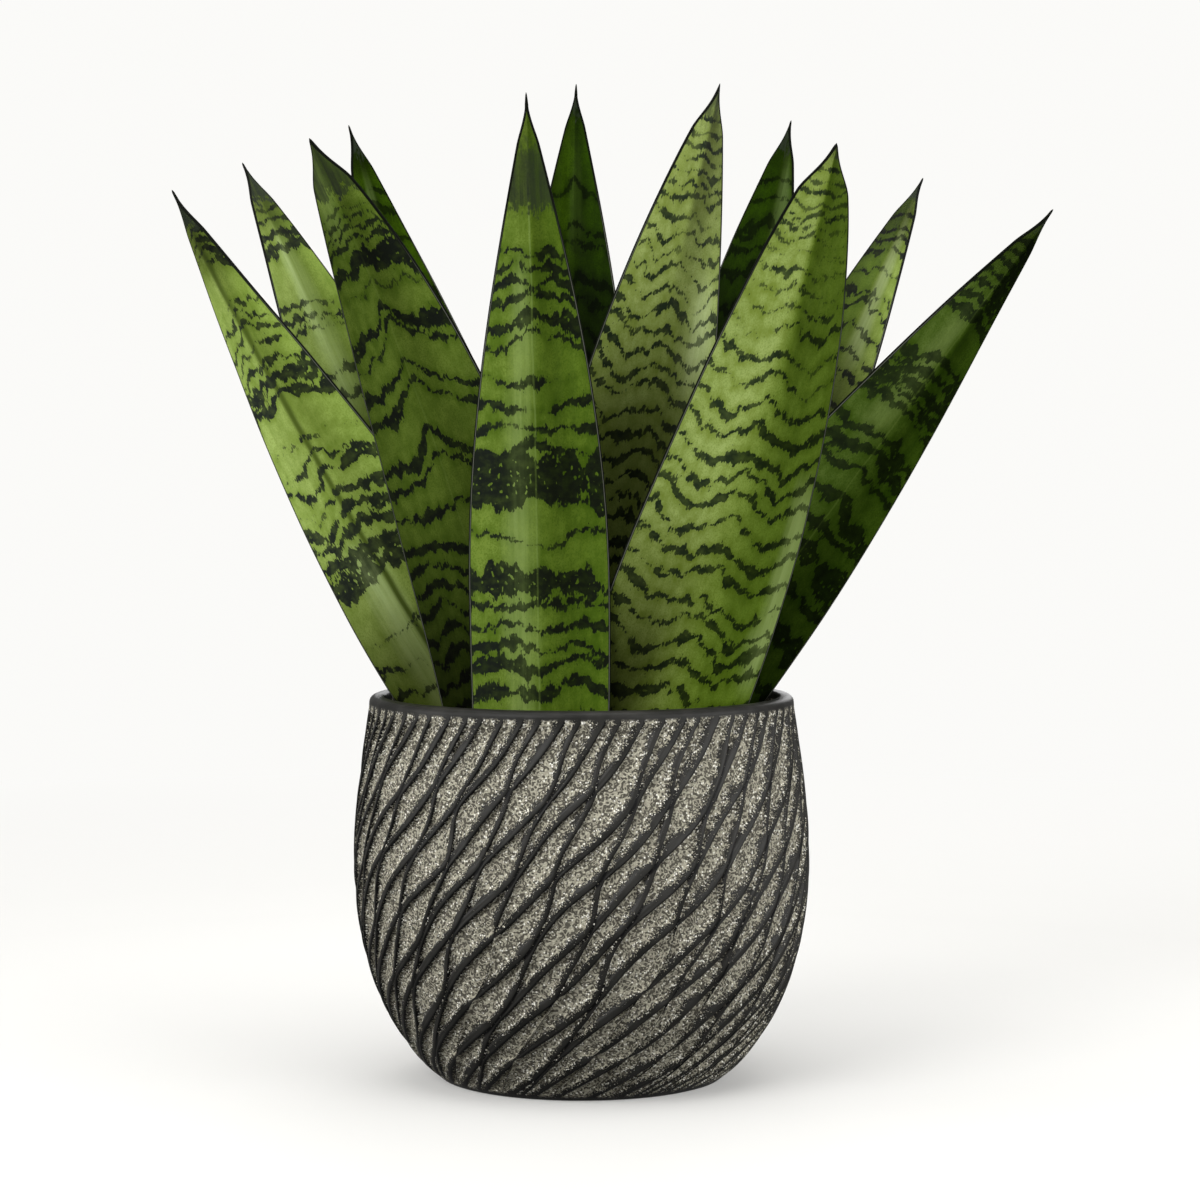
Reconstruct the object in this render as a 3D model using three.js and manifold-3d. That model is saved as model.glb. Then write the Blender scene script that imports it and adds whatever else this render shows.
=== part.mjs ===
// Potted Ceylon bowstring hemp: eleven sword-shaped leaves in potting soil, in a round ridged planter.
// Millimetres, +Z up. The origin is the centre of the planter's foot, on the surface it stands on.
// The front of the plant faces -Y.

import * as THREE from 'three';
import { mergeVertices } from 'three/addons/utils/BufferGeometryUtils.js';
import Module from 'manifold-3d';

const wasm = await Module();
wasm.setup();

// Clearance between pieces that touch
const GAP = 0.3;

// Planter: [height, radius] up the crests of its ridges, from the foot to the lip
const POT_OUTLINE = [
  [0, 61.5], [7, 70], [16, 77.5], [30, 86.2], [48, 93.5], [72, 98.8], [100, 100.5], [130, 98.3], [165, 93.4],
];
const POT_HEIGHT = 169;
const POT_WALL = 6.5;
const POT_FLOOR = 9;
const LIP_ROUND = 3;
const CAVITY_SIDES = 48;
const CAVITY_STEPS = 7;
const LIP_BEVEL = 0.9;
const LIP_BENDS = [45, 90];
const OVERCUT = 2;
const POT_FINISH = { color: 0x6f6a60, roughness: 0.8 };

// Ridges: two families of lines lean the same way, one more than the other, and cross into a net with sandy
// cells. Leans are in degrees from upright, and spacings are those of one family
const FAMILY_LINES = 34;
const RIDGE_DEPTH = 1.8;
const RIDGE_LEAN_TOP = 30;
const RIDGE_LEAN_FOOT = 43;
const RIDGE_BAND = [2.5, 164];
const RIDGE_FADE = 4;
const RIDGE_ROWS = 17;
const TURN_STEPS = 24;
// Spacings by which each family leaves the common lean in one mm of height, and how softly that sets in
const CROSSING_RATE = 0.0178;
const CROSSING_SOFTNESS = 33;
// Each line wanders in a slow wave and a quicker one, less so at the rim, and stands a little off its place
const MEANDER_SIZE = 0.09;
const MEANDER_LENGTH = 75;
const MEANDER_STRETCH = [0.8, 1.2];
const QUICK_SIZE = 0.054;
const QUICK_LENGTH = 41.25;
const MEANDER_AT_RIM = 0.25;
const SCATTER = 0.09;
// Seeds that give each family its own wander and endings
const LEANER_SEED = 11;
const STEEPER_SEED = 21;
const ENDING_SEED = 31;
// Lines that meet stay this many spacings apart
const MEETING_GAP = 0.13;
// Some lines of the steeper family end at one of these crossings, counted from the rim
const ENDING_SHARE = 0.4;
const ENDING_CROSSINGS = [3, 5];
const ENDING_SOFTNESS = 5;
// A cell opens where its two lines are this many spacings apart, from shut to full depth
const CELL_OPEN = [0.16, 0.42];
// Across one cell, from the crest of one ridge to the next: [place, share of the depth]
const CELL_SECTION = [[0, 0], [0.16, 1], [0.7, 1]];

// Soil: its level at the wall, and how much it heaps up in the middle
const SOIL_TOP = 150;
const SOIL_HEAP = 3;
const SOIL_RINGS = 2;
const SOIL_FINISH = { color: 0x2b2018, roughness: 1 };

// Leaves: how deep they stand in the soil, their thickness, and the steps along and across the blade
const LEAF_ROOT = 24;
const LEAF_THICK = 4.2;
const LEAF_TIP_THICK = 1.6;
const MARGIN_THICK = 1.1;
const BLADE_STEPS = 14;
const HOLE_SECTIONS = 4;
const LEAF_ACROSS = [-1, -0.66, -0.3, 0, 0.3, 0.66, 1];
const POINT_LENGTH = 11;
const POINT_WIDTH = 1.5;
const POINT_SLIMNESS = 0.4;
const ROOT_NARROWING = 0.3;
const FOLD_ROUND = 0.25;
const LEAF_ROUGHNESS = 0.4;

// Each leaf: foot on the soil [x, y], tip [x, y, z], how far its middle bows off the straight line [x, y],
// full width, length from the tip to the widest place, how blunt it is (under 1 is blunter than a sine),
// facing at foot and tip (degrees that its right margin swings back), and fold at foot and tip (degrees
// that each half turns forward; below 0 the keel faces the front)
const LEAVES = [
  { name: 'leaf_01', foot: [-39, -5], tip: [-177, -18, 389], bow: [-4, 0], width: 66, taper: 214, blunt: 0.95,
    facing: [-9, -38], fold: [-15, -12], color: 0x7f9a4a },
  { name: 'leaf_02', foot: [-43, 33], tip: [-157, 85, 408], bow: [3, -4], width: 68, taper: 215, blunt: 0.87,
    facing: [15, 42], fold: [14, 12], color: 0x8aa45a },
  { name: 'leaf_03', foot: [-26, -29], tip: [-112, -85, 406], bow: [9, 3], width: 70, taper: 211, blunt: 0.65,
    facing: [-13, -30], fold: [-13, -8], color: 0x4a6b22 },
  { name: 'leaf_04', foot: [-12, 15], tip: [-105, 45, 422], bow: [-4, -3], width: 60, taper: 215, blunt: 0.88,
    facing: [-8, 35], fold: [12, 10], color: 0x2d4a16 },
  { name: 'leaf_05', foot: [-17, -56], tip: [-22, -105, 423], bow: [1, 4], width: 60, taper: 212, blunt: 1,
    facing: [0, 0], fold: [-14, -10], color: 0x567d2c },
  { name: 'leaf_06', foot: [-8, 61], tip: [-3, 105, 446], bow: [0, -4], width: 63, taper: 220, blunt: 0.98,
    facing: [4, -16], fold: [14, 10], color: 0x2f5518 },
  { name: 'leaf_07', foot: [3, -17], tip: [60, -15, 435], bow: [-3, -2], width: 69, taper: 220, blunt: 0.78,
    facing: [-2, 28], fold: [-12, -10], color: 0x7d9457 },
  { name: 'leaf_08', foot: [36, 30], tip: [96, 80, 427], bow: [0, -4], width: 64, taper: 214, blunt: 0.82,
    facing: [-4, -36], fold: [14, 12], color: 0x385522 },
  { name: 'leaf_09', foot: [29, -41], tip: [105, -98, 403], bow: [5, 4], width: 79, taper: 226, blunt: 0.62,
    facing: [13, 24], fold: [-13, -10], color: 0x7a9c3e },
  { name: 'leaf_10', foot: [44, 46], tip: [160, 115, 403], bow: [-1, -4], width: 61, taper: 214, blunt: 0.82,
    facing: [-14, -42], fold: [14, 12], color: 0x86a251 },
  { name: 'leaf_11', foot: [35, 0], tip: [207, 5, 382], bow: [0, 0], width: 64, taper: 214, blunt: 0.86,
    facing: [7, 38], fold: [-14, -12], color: 0x2f4d1a },
];

// Number of halvings in the search for the outline's radius at a height
const HALVINGS = 30;

const rad = THREE.MathUtils.degToRad;
const lerp = THREE.MathUtils.lerp;
const smoothstep = THREE.MathUtils.smoothstep;

// A repeatable number from 0 to 1 for a whole number
function chance(index, salt) {
  const indexStride = 127.1;
  const saltStride = 311.7;
  const stretch = 43758.5453;
  const wave = Math.sin(index * indexStride + salt * saltStride) * stretch;
  return wave - Math.floor(wave);
}

function geometryFrom(points, faces) {
  const geometry = new THREE.BufferGeometry();
  geometry.setAttribute('position', new THREE.Float32BufferAttribute(points.flat(), 3));
  geometry.setIndex(faces.flat());
  return geometry;
}

// The flat end of a long thin section: strips between its front edge and its back edge
function stripCap(sides) {
  const faces = [];
  for (let a = 0; a < sides / 2 - 1; a += 1) {
    const b = a + 1;
    const c = sides - 1 - b;
    const d = sides - 1 - a;
    faces.push([a, b, c], [a, c, d]);
  }
  return faces;
}

// The flat end of a round section: a fan from its first point
function fanCap(sides) {
  const faces = [];
  for (let b = 1; b + 1 < sides; b += 1) {
    faces.push([0, b, b + 1]);
  }
  return faces;
}

// Rings of points, each ring with the same number of points, joined into one closed body. From the point
// numbered backFrom on, a thin blade's back face is split along the same diagonals as its front face
function loft(rings, cap, backFrom = Infinity) {
  const sides = rings[0].length;
  const last = (rings.length - 1) * sides;
  const faces = [];
  for (let row = 0; row < last; row += sides) {
    for (let side = 0; side < sides; side += 1) {
      const a = row + side;
      const b = row + ((side + 1) % sides);
      if (side < backFrom) faces.push([a, b, b + sides], [a, b + sides, a + sides]);
      else faces.push([a, b, a + sides], [b, b + sides, a + sides]);
    }
  }
  for (const [a, b, c] of cap(sides)) {
    faces.push([b, a, c], [last + a, last + b, last + c]);
  }
  return geometryFrom(rings.flat(), faces);
}

function toSolid(geometry) {
  const bare = geometry.clone();
  bare.deleteAttribute('normal');
  bare.deleteAttribute('uv');
  const merged = mergeVertices(bare);
  return new wasm.Manifold(new wasm.Mesh({
    numProp: 3,
    vertProperties: new Float32Array(merged.attributes.position.array),
    triVerts: new Uint32Array(merged.index.array),
  }));
}

function toGeometry(solid) {
  const mesh = solid.getMesh();
  const geometry = new THREE.BufferGeometry();
  geometry.setAttribute('position', new THREE.BufferAttribute(new Float32Array(mesh.vertProperties), 3));
  geometry.setIndex(new THREE.BufferAttribute(new Uint32Array(mesh.triVerts), 1));
  return geometry;
}

// The planter's outline as a smooth curve: x is the radius and y the height
const outline = new THREE.CatmullRomCurve3(
  POT_OUTLINE.map(([height, radius]) => new THREE.Vector3(radius, height, 0)),
);

// Radius of the outline at a height
function outlineRadius(height) {
  let low = 0;
  let high = 1;
  for (let halving = 0; halving < HALVINGS; halving += 1) {
    const middle = (low + high) / 2;
    if (outline.getPoint(middle).y < height) low = middle;
    else high = middle;
  }
  return outline.getPoint(low).x;
}

// How far round the ridges have leaned from the foot up to a height, in radians
function ridgeTurn(height) {
  let turn = 0;
  for (let step = 0; step < TURN_STEPS; step += 1) {
    const from = (height * step) / TURN_STEPS;
    const to = (height * (step + 1)) / TURN_STEPS;
    const middle = (from + to) / 2;
    const climb = Math.hypot(to - from, outlineRadius(to) - outlineRadius(from));
    const lean = lerp(RIDGE_LEAN_FOOT, RIDGE_LEAN_TOP, Math.min(middle / RIDGE_BAND[1], 1));
    turn += (climb * Math.tan(rad(lean))) / outlineRadius(middle);
  }
  return turn;
}

// How far each family has run from the common lean at a height, in spacings: nought at the rim
function crossingRun(height) {
  const below = Math.max(RIDGE_BAND[1] - height, 0);
  const soft = Math.min(below, CROSSING_SOFTNESS);
  return CROSSING_RATE * ((soft * soft) / (2 * CROSSING_SOFTNESS) + below - soft);
}

// The height of a crossing, counted from the rim, of two lines that do not meander
function crossingHeight(number) {
  const run = (number - 0.5) / 2;
  return RIDGE_BAND[1] - CROSSING_SOFTNESS / 2 - run / CROSSING_RATE;
}

// One line's own sideways wander, in spacings
function meander(line, seed, height) {
  const length = MEANDER_LENGTH * lerp(MEANDER_STRETCH[0], MEANDER_STRETCH[1], chance(line, seed));
  const slow = Math.sin(2 * Math.PI * (height / length + chance(line, seed + 1)));
  const quick = Math.sin(2 * Math.PI * (height / QUICK_LENGTH + chance(line, seed + 2)));
  const nearRim = smoothstep(height, RIDGE_BAND[1] - CROSSING_SOFTNESS, RIDGE_BAND[1]);
  const wave = MEANDER_SIZE * slow + QUICK_SIZE * quick;
  return wave * lerp(1, MEANDER_AT_RIM, nearRim) + SCATTER * lerp(-1, 1, chance(line, seed + 3));
}

// How much of a line of the steeper family is left at a height, from 0 to 1
function steeperLineLeft(line, height) {
  if (chance(line, ENDING_SEED) > ENDING_SHARE) return 1;
  const range = ENDING_CROSSINGS[1] - ENDING_CROSSINGS[0];
  const end = crossingHeight(ENDING_CROSSINGS[0] + Math.round(chance(line, ENDING_SEED + 1) * range));
  return smoothstep(height, end - ENDING_SOFTNESS, end + ENDING_SOFTNESS);
}

// The lines of both families at a height, from left to right: where each stands, in spacings, and how
// much of it is left
function ridgeLines(height) {
  const run = crossingRun(height);
  const spare = Math.ceil(crossingRun(0)) + 2;
  const lines = [];
  for (let line = -spare; line < FAMILY_LINES + spare; line += 1) {
    const own = (line + FAMILY_LINES) % FAMILY_LINES;
    lines.push({ place: line - run + meander(own, LEANER_SEED, height), left: 1 });
    lines.push({
      place: line + 0.5 + run + meander(own, STEEPER_SEED, height),
      left: steeperLineLeft(own, height),
    });
  }
  lines.sort((a, b) => a.place - b.place);
  const round = lines.slice(2 * spare, 2 * spare + 2 * FAMILY_LINES);
  const pushes = round.map((line, k) => {
    const next = lines[2 * spare + k + 1];
    const gap = next.place - line.place;
    return (Math.hypot(gap, MEETING_GAP * Math.min(line.left, next.left)) - gap) / 2;
  });
  return round.map(({ place, left }, k) => {
    const before = pushes[(k + round.length - 1) % round.length];
    return { place: place - pushes[k] + before, left };
  });
}

// Outer wall: columns follow the ridge lines, so that each ridge keeps a crest and a crease
function potOuter() {
  const rings = [];
  const ridgeHeights = [];
  for (let row = 0; row <= RIDGE_ROWS; row += 1) {
    ridgeHeights.push(lerp(RIDGE_BAND[0], RIDGE_BAND[1], row / RIDGE_ROWS));
  }
  const heights = [0, ...ridgeHeights, POT_HEIGHT - LIP_ROUND];
  for (const height of heights) {
    const radius = outlineRadius(height);
    const turn = ridgeTurn(height);
    const fade = smoothstep(height, RIDGE_BAND[0], RIDGE_BAND[0] + RIDGE_FADE)
      * (1 - smoothstep(height, RIDGE_BAND[1] - RIDGE_FADE, RIDGE_BAND[1]));
    const lines = ridgeLines(height);
    const ring = [];
    lines.forEach((line, k) => {
      const next = lines[(k + 1) % lines.length];
      const span = next.place + (k + 1 === lines.length ? FAMILY_LINES : 0) - line.place;
      const open = smoothstep(span, CELL_OPEN[0], CELL_OPEN[1]);
      for (const [across, depth] of CELL_SECTION) {
        const sunk = across === 0 ? 1 - line.left : depth * open;
        const angle = ((line.place + across * span) * 2 * Math.PI) / FAMILY_LINES + turn;
        const reach = radius - RIDGE_DEPTH * sunk * fade;
        ring.push([reach * Math.cos(angle), reach * Math.sin(angle), height]);
      }
    });
    rings.push(ring);
  }
  const rim = rings[rings.length - 1];
  const rimRadius = outlineRadius(POT_HEIGHT - LIP_ROUND);
  for (const bend of LIP_BENDS) {
    const inset = LIP_ROUND * (1 - Math.cos(rad(bend)));
    const scale = (rimRadius - inset) / rimRadius;
    const height = POT_HEIGHT - LIP_ROUND * (1 - Math.sin(rad(bend)));
    rings.push(rim.map(([x, y]) => [x * scale, y * scale, height]));
  }
  return loft(rings, fanCap);
}

function cavityRadius(height) {
  return outlineRadius(height) - POT_WALL;
}

// Points [radius, height] up the inside of the wall as far as the soil, set inward by a clearance
function cavityWall(clearance) {
  const points = [];
  for (let step = 0; step <= CAVITY_STEPS; step += 1) {
    const height = lerp(POT_FLOOR, SOIL_TOP, step / CAVITY_STEPS);
    points.push(new THREE.Vector2(cavityRadius(height) - clearance, height));
  }
  return points;
}

function potCavity() {
  const throat = POT_HEIGHT - LIP_ROUND;
  const mouth = cavityRadius(throat);
  const profile = [
    new THREE.Vector2(0, POT_FLOOR),
    ...cavityWall(0),
    new THREE.Vector2(mouth, throat),
    new THREE.Vector2(mouth + LIP_BEVEL, POT_HEIGHT - LIP_BEVEL),
    new THREE.Vector2(mouth + 2 * LIP_BEVEL + OVERCUT, POT_HEIGHT + OVERCUT),
    new THREE.Vector2(0, POT_HEIGHT + OVERCUT),
  ];
  return new THREE.LatheGeometry(profile, CAVITY_SIDES).rotateX(Math.PI / 2);
}

function potGeometry() {
  return toGeometry(toSolid(potOuter()).subtract(toSolid(potCavity())));
}

// Soil surface height at a radius: a low heap that thins out to the wall
function soilHeight(radius) {
  const share = radius / cavityRadius(SOIL_TOP);
  return SOIL_TOP + SOIL_HEAP * (1 - share * share);
}

function soilBody() {
  const wall = cavityWall(GAP);
  wall[0].y += GAP;
  const profile = [new THREE.Vector2(0, POT_FLOOR + GAP), ...wall];
  for (let ring = SOIL_RINGS - 1; ring >= 0; ring -= 1) {
    const radius = ((cavityRadius(SOIL_TOP) - GAP) * ring) / SOIL_RINGS;
    profile.push(new THREE.Vector2(radius, soilHeight(radius)));
  }
  return new THREE.LatheGeometry(profile, CAVITY_SIDES).rotateX(Math.PI / 2);
}

// Half the blade's width at a distance from the tip
function halfWidth(leaf, fromTip, length) {
  const widest = Math.min(leaf.taper, length);
  const narrowing = fromTip < widest
    ? Math.sin((Math.PI / 2) * (fromTip / widest)) ** leaf.blunt
    : 1 - ROOT_NARROWING * ((fromTip - widest) / widest) ** 2;
  const point = smoothstep(fromTip, 0, 2 * POINT_LENGTH);
  return Math.max((leaf.width / 2) * narrowing * lerp(POINT_SLIMNESS, 1, point), POINT_WIDTH / 2);
}

// The blade's middle line: a straight root in the soil, then a curve from the foot to the tip
function middleLine(leaf) {
  const foot = new THREE.Vector3(leaf.foot[0], leaf.foot[1], SOIL_TOP);
  const tip = new THREE.Vector3(...leaf.tip);
  const bow = new THREE.Vector3(leaf.bow[0], leaf.bow[1], 0);
  const control = foot.clone().lerp(tip, 0.5).addScaledVector(bow, 2);
  const blade = new THREE.QuadraticBezierCurve3(foot, control, tip);
  const path = new THREE.CurvePath();
  const down = blade.getTangent(0).multiplyScalar(-LEAF_ROOT);
  path.add(new THREE.LineCurve3(foot.clone().add(down), foot));
  path.add(blade);
  return path;
}

// One section ring across the blade: the front face from margin to margin, then the back face
function leafSection(leaf, line, share, grow) {
  const length = line.getLength();
  const fromTip = length * (1 - share);
  const middle = line.getPointAt(share);
  const along = line.getTangentAt(share);
  const facing = rad(lerp(leaf.facing[0], leaf.facing[1], share));
  const level = new THREE.Vector3(Math.cos(facing), Math.sin(facing), 0);
  const across = level.addScaledVector(along, -level.dot(along)).normalize();
  const front = new THREE.Vector3().crossVectors(across, along).normalize();
  const half = halfWidth(leaf, fromTip, length) + grow;
  const fold = Math.tan(rad(lerp(leaf.fold[0], leaf.fold[1], share)));
  const thick = lerp(LEAF_TIP_THICK, LEAF_THICK, smoothstep(fromTip, 0, leaf.taper));
  const place = (side, face) => {
    const lift = half * fold * (Math.hypot(side, FOLD_ROUND) - FOLD_ROUND);
    const body = lerp(MARGIN_THICK, thick, 1 - side * side) / 2 + grow;
    return middle.clone()
      .addScaledVector(across, side * half)
      .addScaledVector(front, lift + face * body)
      .toArray();
  };
  const forward = LEAF_ACROSS.map((side) => place(side, 1));
  const backward = [...LEAF_ACROSS].reverse().map((side) => place(side, -1));
  return [...forward, ...backward];
}

// Shares of the blade's length where its sections stand: the root's end, the soil, even steps, the point
function leafShares(line) {
  const length = line.getLength();
  const soil = LEAF_ROOT / length;
  const point = 1 - POINT_LENGTH / length;
  const shares = [0, soil];
  for (let step = 1; step <= BLADE_STEPS; step += 1) {
    shares.push(lerp(soil, point, step / BLADE_STEPS));
  }
  shares.push(1);
  return shares;
}

function leafGeometry(leaf) {
  const line = middleLine(leaf);
  const rings = leafShares(line).map((share) => leafSection(leaf, line, share, 0));
  return loft(rings, stripCap, LEAF_ACROSS.length);
}

// A plain hole for a leaf: the blade's lowest sections, which reach out of the soil, a clearance larger
function leafHole(leaf) {
  const line = middleLine(leaf);
  const shares = leafShares(line).slice(0, HOLE_SECTIONS);
  const rings = shares.map((share) => leafSection(leaf, line, share, GAP));
  const down = line.getTangentAt(0).multiplyScalar(-GAP);
  rings[0] = rings[0].map((point) => new THREE.Vector3(...point).add(down).toArray());
  return toSolid(loft(rings, stripCap, LEAF_ACROSS.length));
}

function soilGeometry() {
  const holes = LEAVES.map(leafHole);
  return toGeometry(holes.reduce((soil, hole) => soil.subtract(hole), toSolid(soilBody())));
}

function makeMesh(name, geometry, settings) {
  const mesh = new THREE.Mesh(geometry, new THREE.MeshStandardMaterial({ metalness: 0, ...settings }));
  geometry.computeVertexNormals();
  mesh.name = name;
  return mesh;
}

const plant = new THREE.Group();
plant.add(makeMesh('pot', potGeometry(), POT_FINISH));
plant.add(makeMesh('soil', soilGeometry(), SOIL_FINISH));
for (const leaf of LEAVES) {
  plant.add(makeMesh(leaf.name, leafGeometry(leaf), { color: leaf.color, roughness: LEAF_ROUGHNESS }));
}

export default plant;
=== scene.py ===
# Potted Ceylon bowstring hemp: the finish of every surface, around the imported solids.
# Blender works in metres. Sizes below are in millimetres, as on the real plant, and are scaled at the end.

import math

import bpy
import numpy as np
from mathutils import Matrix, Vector


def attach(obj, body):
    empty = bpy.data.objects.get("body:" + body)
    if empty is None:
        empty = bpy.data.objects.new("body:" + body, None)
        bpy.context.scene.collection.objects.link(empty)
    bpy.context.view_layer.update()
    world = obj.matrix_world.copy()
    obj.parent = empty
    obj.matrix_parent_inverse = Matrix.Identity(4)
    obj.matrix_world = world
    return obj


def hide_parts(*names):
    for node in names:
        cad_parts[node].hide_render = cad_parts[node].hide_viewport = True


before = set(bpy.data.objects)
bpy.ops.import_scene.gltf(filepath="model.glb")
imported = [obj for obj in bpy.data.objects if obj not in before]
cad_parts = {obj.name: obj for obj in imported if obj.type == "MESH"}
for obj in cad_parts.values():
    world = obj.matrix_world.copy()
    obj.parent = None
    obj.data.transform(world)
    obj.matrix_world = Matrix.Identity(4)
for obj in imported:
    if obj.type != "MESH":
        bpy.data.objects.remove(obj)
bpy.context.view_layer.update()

MM = 0.001
# A gap between pieces that touch on the real plant
GAP = 0.3
# UV maps hold millimetres and painted shades, scaled by these
MAP_SCALE = 0.01
SHADE_SCALE = 0.25

# Camera: where it stands (mm), how far it looks down (degrees), its lens and sensor (mm), and how far it
# sees (m)
CAMERA_PLACE = (8.1, -1540.0, 292.5)
CAMERA_DIP = 3.05
CAMERA_LENS = 105.12
CAMERA_SENSOR = 36.0
CAMERA_REACH = 20.0

# Planter: (height, radius) up the crests of its ridges, from the foot to the lip
POT_OUTLINE = [
    (0, 61.5), (7, 70), (16, 77.5), (30, 86.2), (48, 93.5),
    (72, 98.8), (100, 100.5), (130, 98.3), (165, 93.4),
]
POT_HEIGHT = 169.0
POT_WALL = 6.5
POT_FLOOR = 9.0
# The lip's rounding outside and inside, with its number of steps
LIP_ROUND = 3.0
LIP_STEPS = 6
LIP_INNER_ROUND = 1.44
LIP_INNER_STEPS = 5
# The foot: how deep its middle is hollowed, how far in from its edge the hollow's floor ends and the flat
# ring starts and ends, and its bevel
FOOT_HOLLOW = 0.8
FOOT_INSETS = (9.0, 7.0, 1.0)
FOOT_BEVEL = 0.5

# Ridges, as in the solid: two families of lines lean the same way, one more than the other, and cross.
# Leans are in degrees from upright, and spacings are those of one family
FAMILY_LINES = 34
RIDGE_DEPTH = 1.8
RIDGE_LEAN_TOP = 30.0
RIDGE_LEAN_FOOT = 43.0
RIDGE_BAND = (2.5, 164.0)
RIDGE_FADE = 4.0
# Spacings by which each family leaves the common lean in one mm of height, and how softly that sets in
CROSSING_RATE = 0.0178
CROSSING_SOFTNESS = 33.0
# Each line wanders in a slow wave and a quicker one, less so at the rim, and stands a little off its place
MEANDER_SIZE = 0.09
MEANDER_LENGTH = 75.0
MEANDER_STRETCH = (0.8, 1.2)
QUICK_SIZE = 0.054
QUICK_LENGTH = 41.25
MEANDER_AT_RIM = 0.25
SCATTER = 0.09
# Seeds that give each family its own wander and endings
LEANER_SEED = 11
STEEPER_SEED = 21
ENDING_SEED = 31
# Lines that meet stay this many spacings apart
MEETING_GAP = 0.13
# Some lines of the steeper family end at one of these crossings, counted from the rim
ENDING_SHARE = 0.4
ENDING_CROSSINGS = (3, 5)
ENDING_SOFTNESS = 5.0

# The planter's fine mesh: steps between two points of the outline, samples of the ridges' turn, lines kept
# spare on each side, rows up the ridged band, and places across one cell from crest to crest
OUTLINE_STEPS = 60
TURN_SAMPLES = 1000
SPARE_LINES = 2
POT_ROWS = 104
CELL_PLACES = [0, 0.06, 0.12, 0.18, 0.26, 0.37, 0.49, 0.61, 0.73, 0.83, 0.92]

# Ridge section, in mm from its line: where the steep side falls, where the ramp side rises, and how much
# wider the leaning family is than the steeper one
STEEP_SIDE = (0.8, 1.7)
RAMP_SIDE = (1.3, 3.2)
FAMILY_WIDTHS = (1.15, 0.85)
CREASE_DEPTH = 0.5
CREASE_WIDTH = 1.3
# How far a ridge sinks from its crest to its steep side
CROWN_DEPTH = 0.18
# A line that has ended still counts as this wide, and the map's distances stop here
LEAST_LINE = 0.05
FARTHEST = 30.0
# Roughness of the sand in mm, and its ripples on a wall of this radius: share, length (mm) and seed
SAND_ROUGHNESS = 0.16
SAND_RADIUS = 100.0
SAND_RIPPLES = ((1.0, 3.0, 7), (0.8, 1.7, 8))

# Soil: its level and heap as in the solid, how deep its crust goes, its fine mesh, and its lumps: height
# (mm), length (mm) and seed, with the most they may rise or sink, and how far they are lowered
SOIL_TOP = 150.0
SOIL_HEAP = 3.0
SOIL_CRUST = 12.0
SOIL_RINGS = 90
SOIL_SPOKES = 240
SOIL_LUMPS = ((1.0, 16, 3), (0.6, 6, 4), (0.35, 2.6, 5))
LUMP_LIMIT = 2.4
LUMP_SINK = 1.2

# Heights of the rows down the planter's inner wall
CAVITY_HEIGHTS = (160.0, SOIL_TOP, 120.0, 80.0, 40.0, 20.0, POT_FLOOR)

# Leaves, as in the solids
LEAF_ROOT = 24.0
LEAF_THICK = 4.2
LEAF_TIP_THICK = 1.6
MARGIN_THICK = 1.1
POINT_LENGTH = 11.0
POINT_WIDTH = 1.5
POINT_END = 0.5
POINT_SHARP = 5.0
POINT_SLIMNESS = 0.4
ROOT_NARROWING = 0.3
FOLD_ROUND = 0.25

# The leaves' fine mesh: columns in from the margin (mm) and across the blade, steps along it, from how far
# under the soil they are fine, and where the last rings stand from the tip
CURVE_SAMPLES = 801
MARGIN_INSETS = [0, 0.1, 0.3, 0.7]
BLADE_COLUMNS = 44
BLADE_STEP = 1.6
FINE_ROOT = 6.0
TIP_STEP = 0.8
TIP_ZONE = 30.0
TIP_LAST = 0.2
TIP_CAP = 0.08
TIP_ROUND = 1.6
# Shallow channels along the front, and where they set in from the margin
CHANNEL_DEPTH = 0.09
CHANNEL_SPACING = 6.5
CHANNEL_INSETS = (0.5, 6.0)
# A slow wave in the blade, which ends at the tip and where the soil holds it
WAVE_SIZE = 0.25
WAVE_LENGTH = 70
WAVE_SQUEEZE = 0.4
WAVE_SEED = 40
WAVE_TIP_FADE = 60
WAVE_SOIL_FADE = 40
# Painted light and shade of the two halves, where one is turned to the light and the other away from it: how
# softly they meet at the tip and lower down, where that changes (mm from the tip), their levels at the
# midrib, and where each one brightens towards its margin. The back has one level and no painted shade
HALVES_MEET = (0.1, 0.5)
HALVES_SOFTEN = (50, 150)
HALVES_LEVELS = (1.1, 0.78)
LEFT_BRIGHTENS = (0.4, 1.0)
RIGHT_BRIGHTENS = (0.2, 0.9)
BACK_SHADE = 1.0
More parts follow.
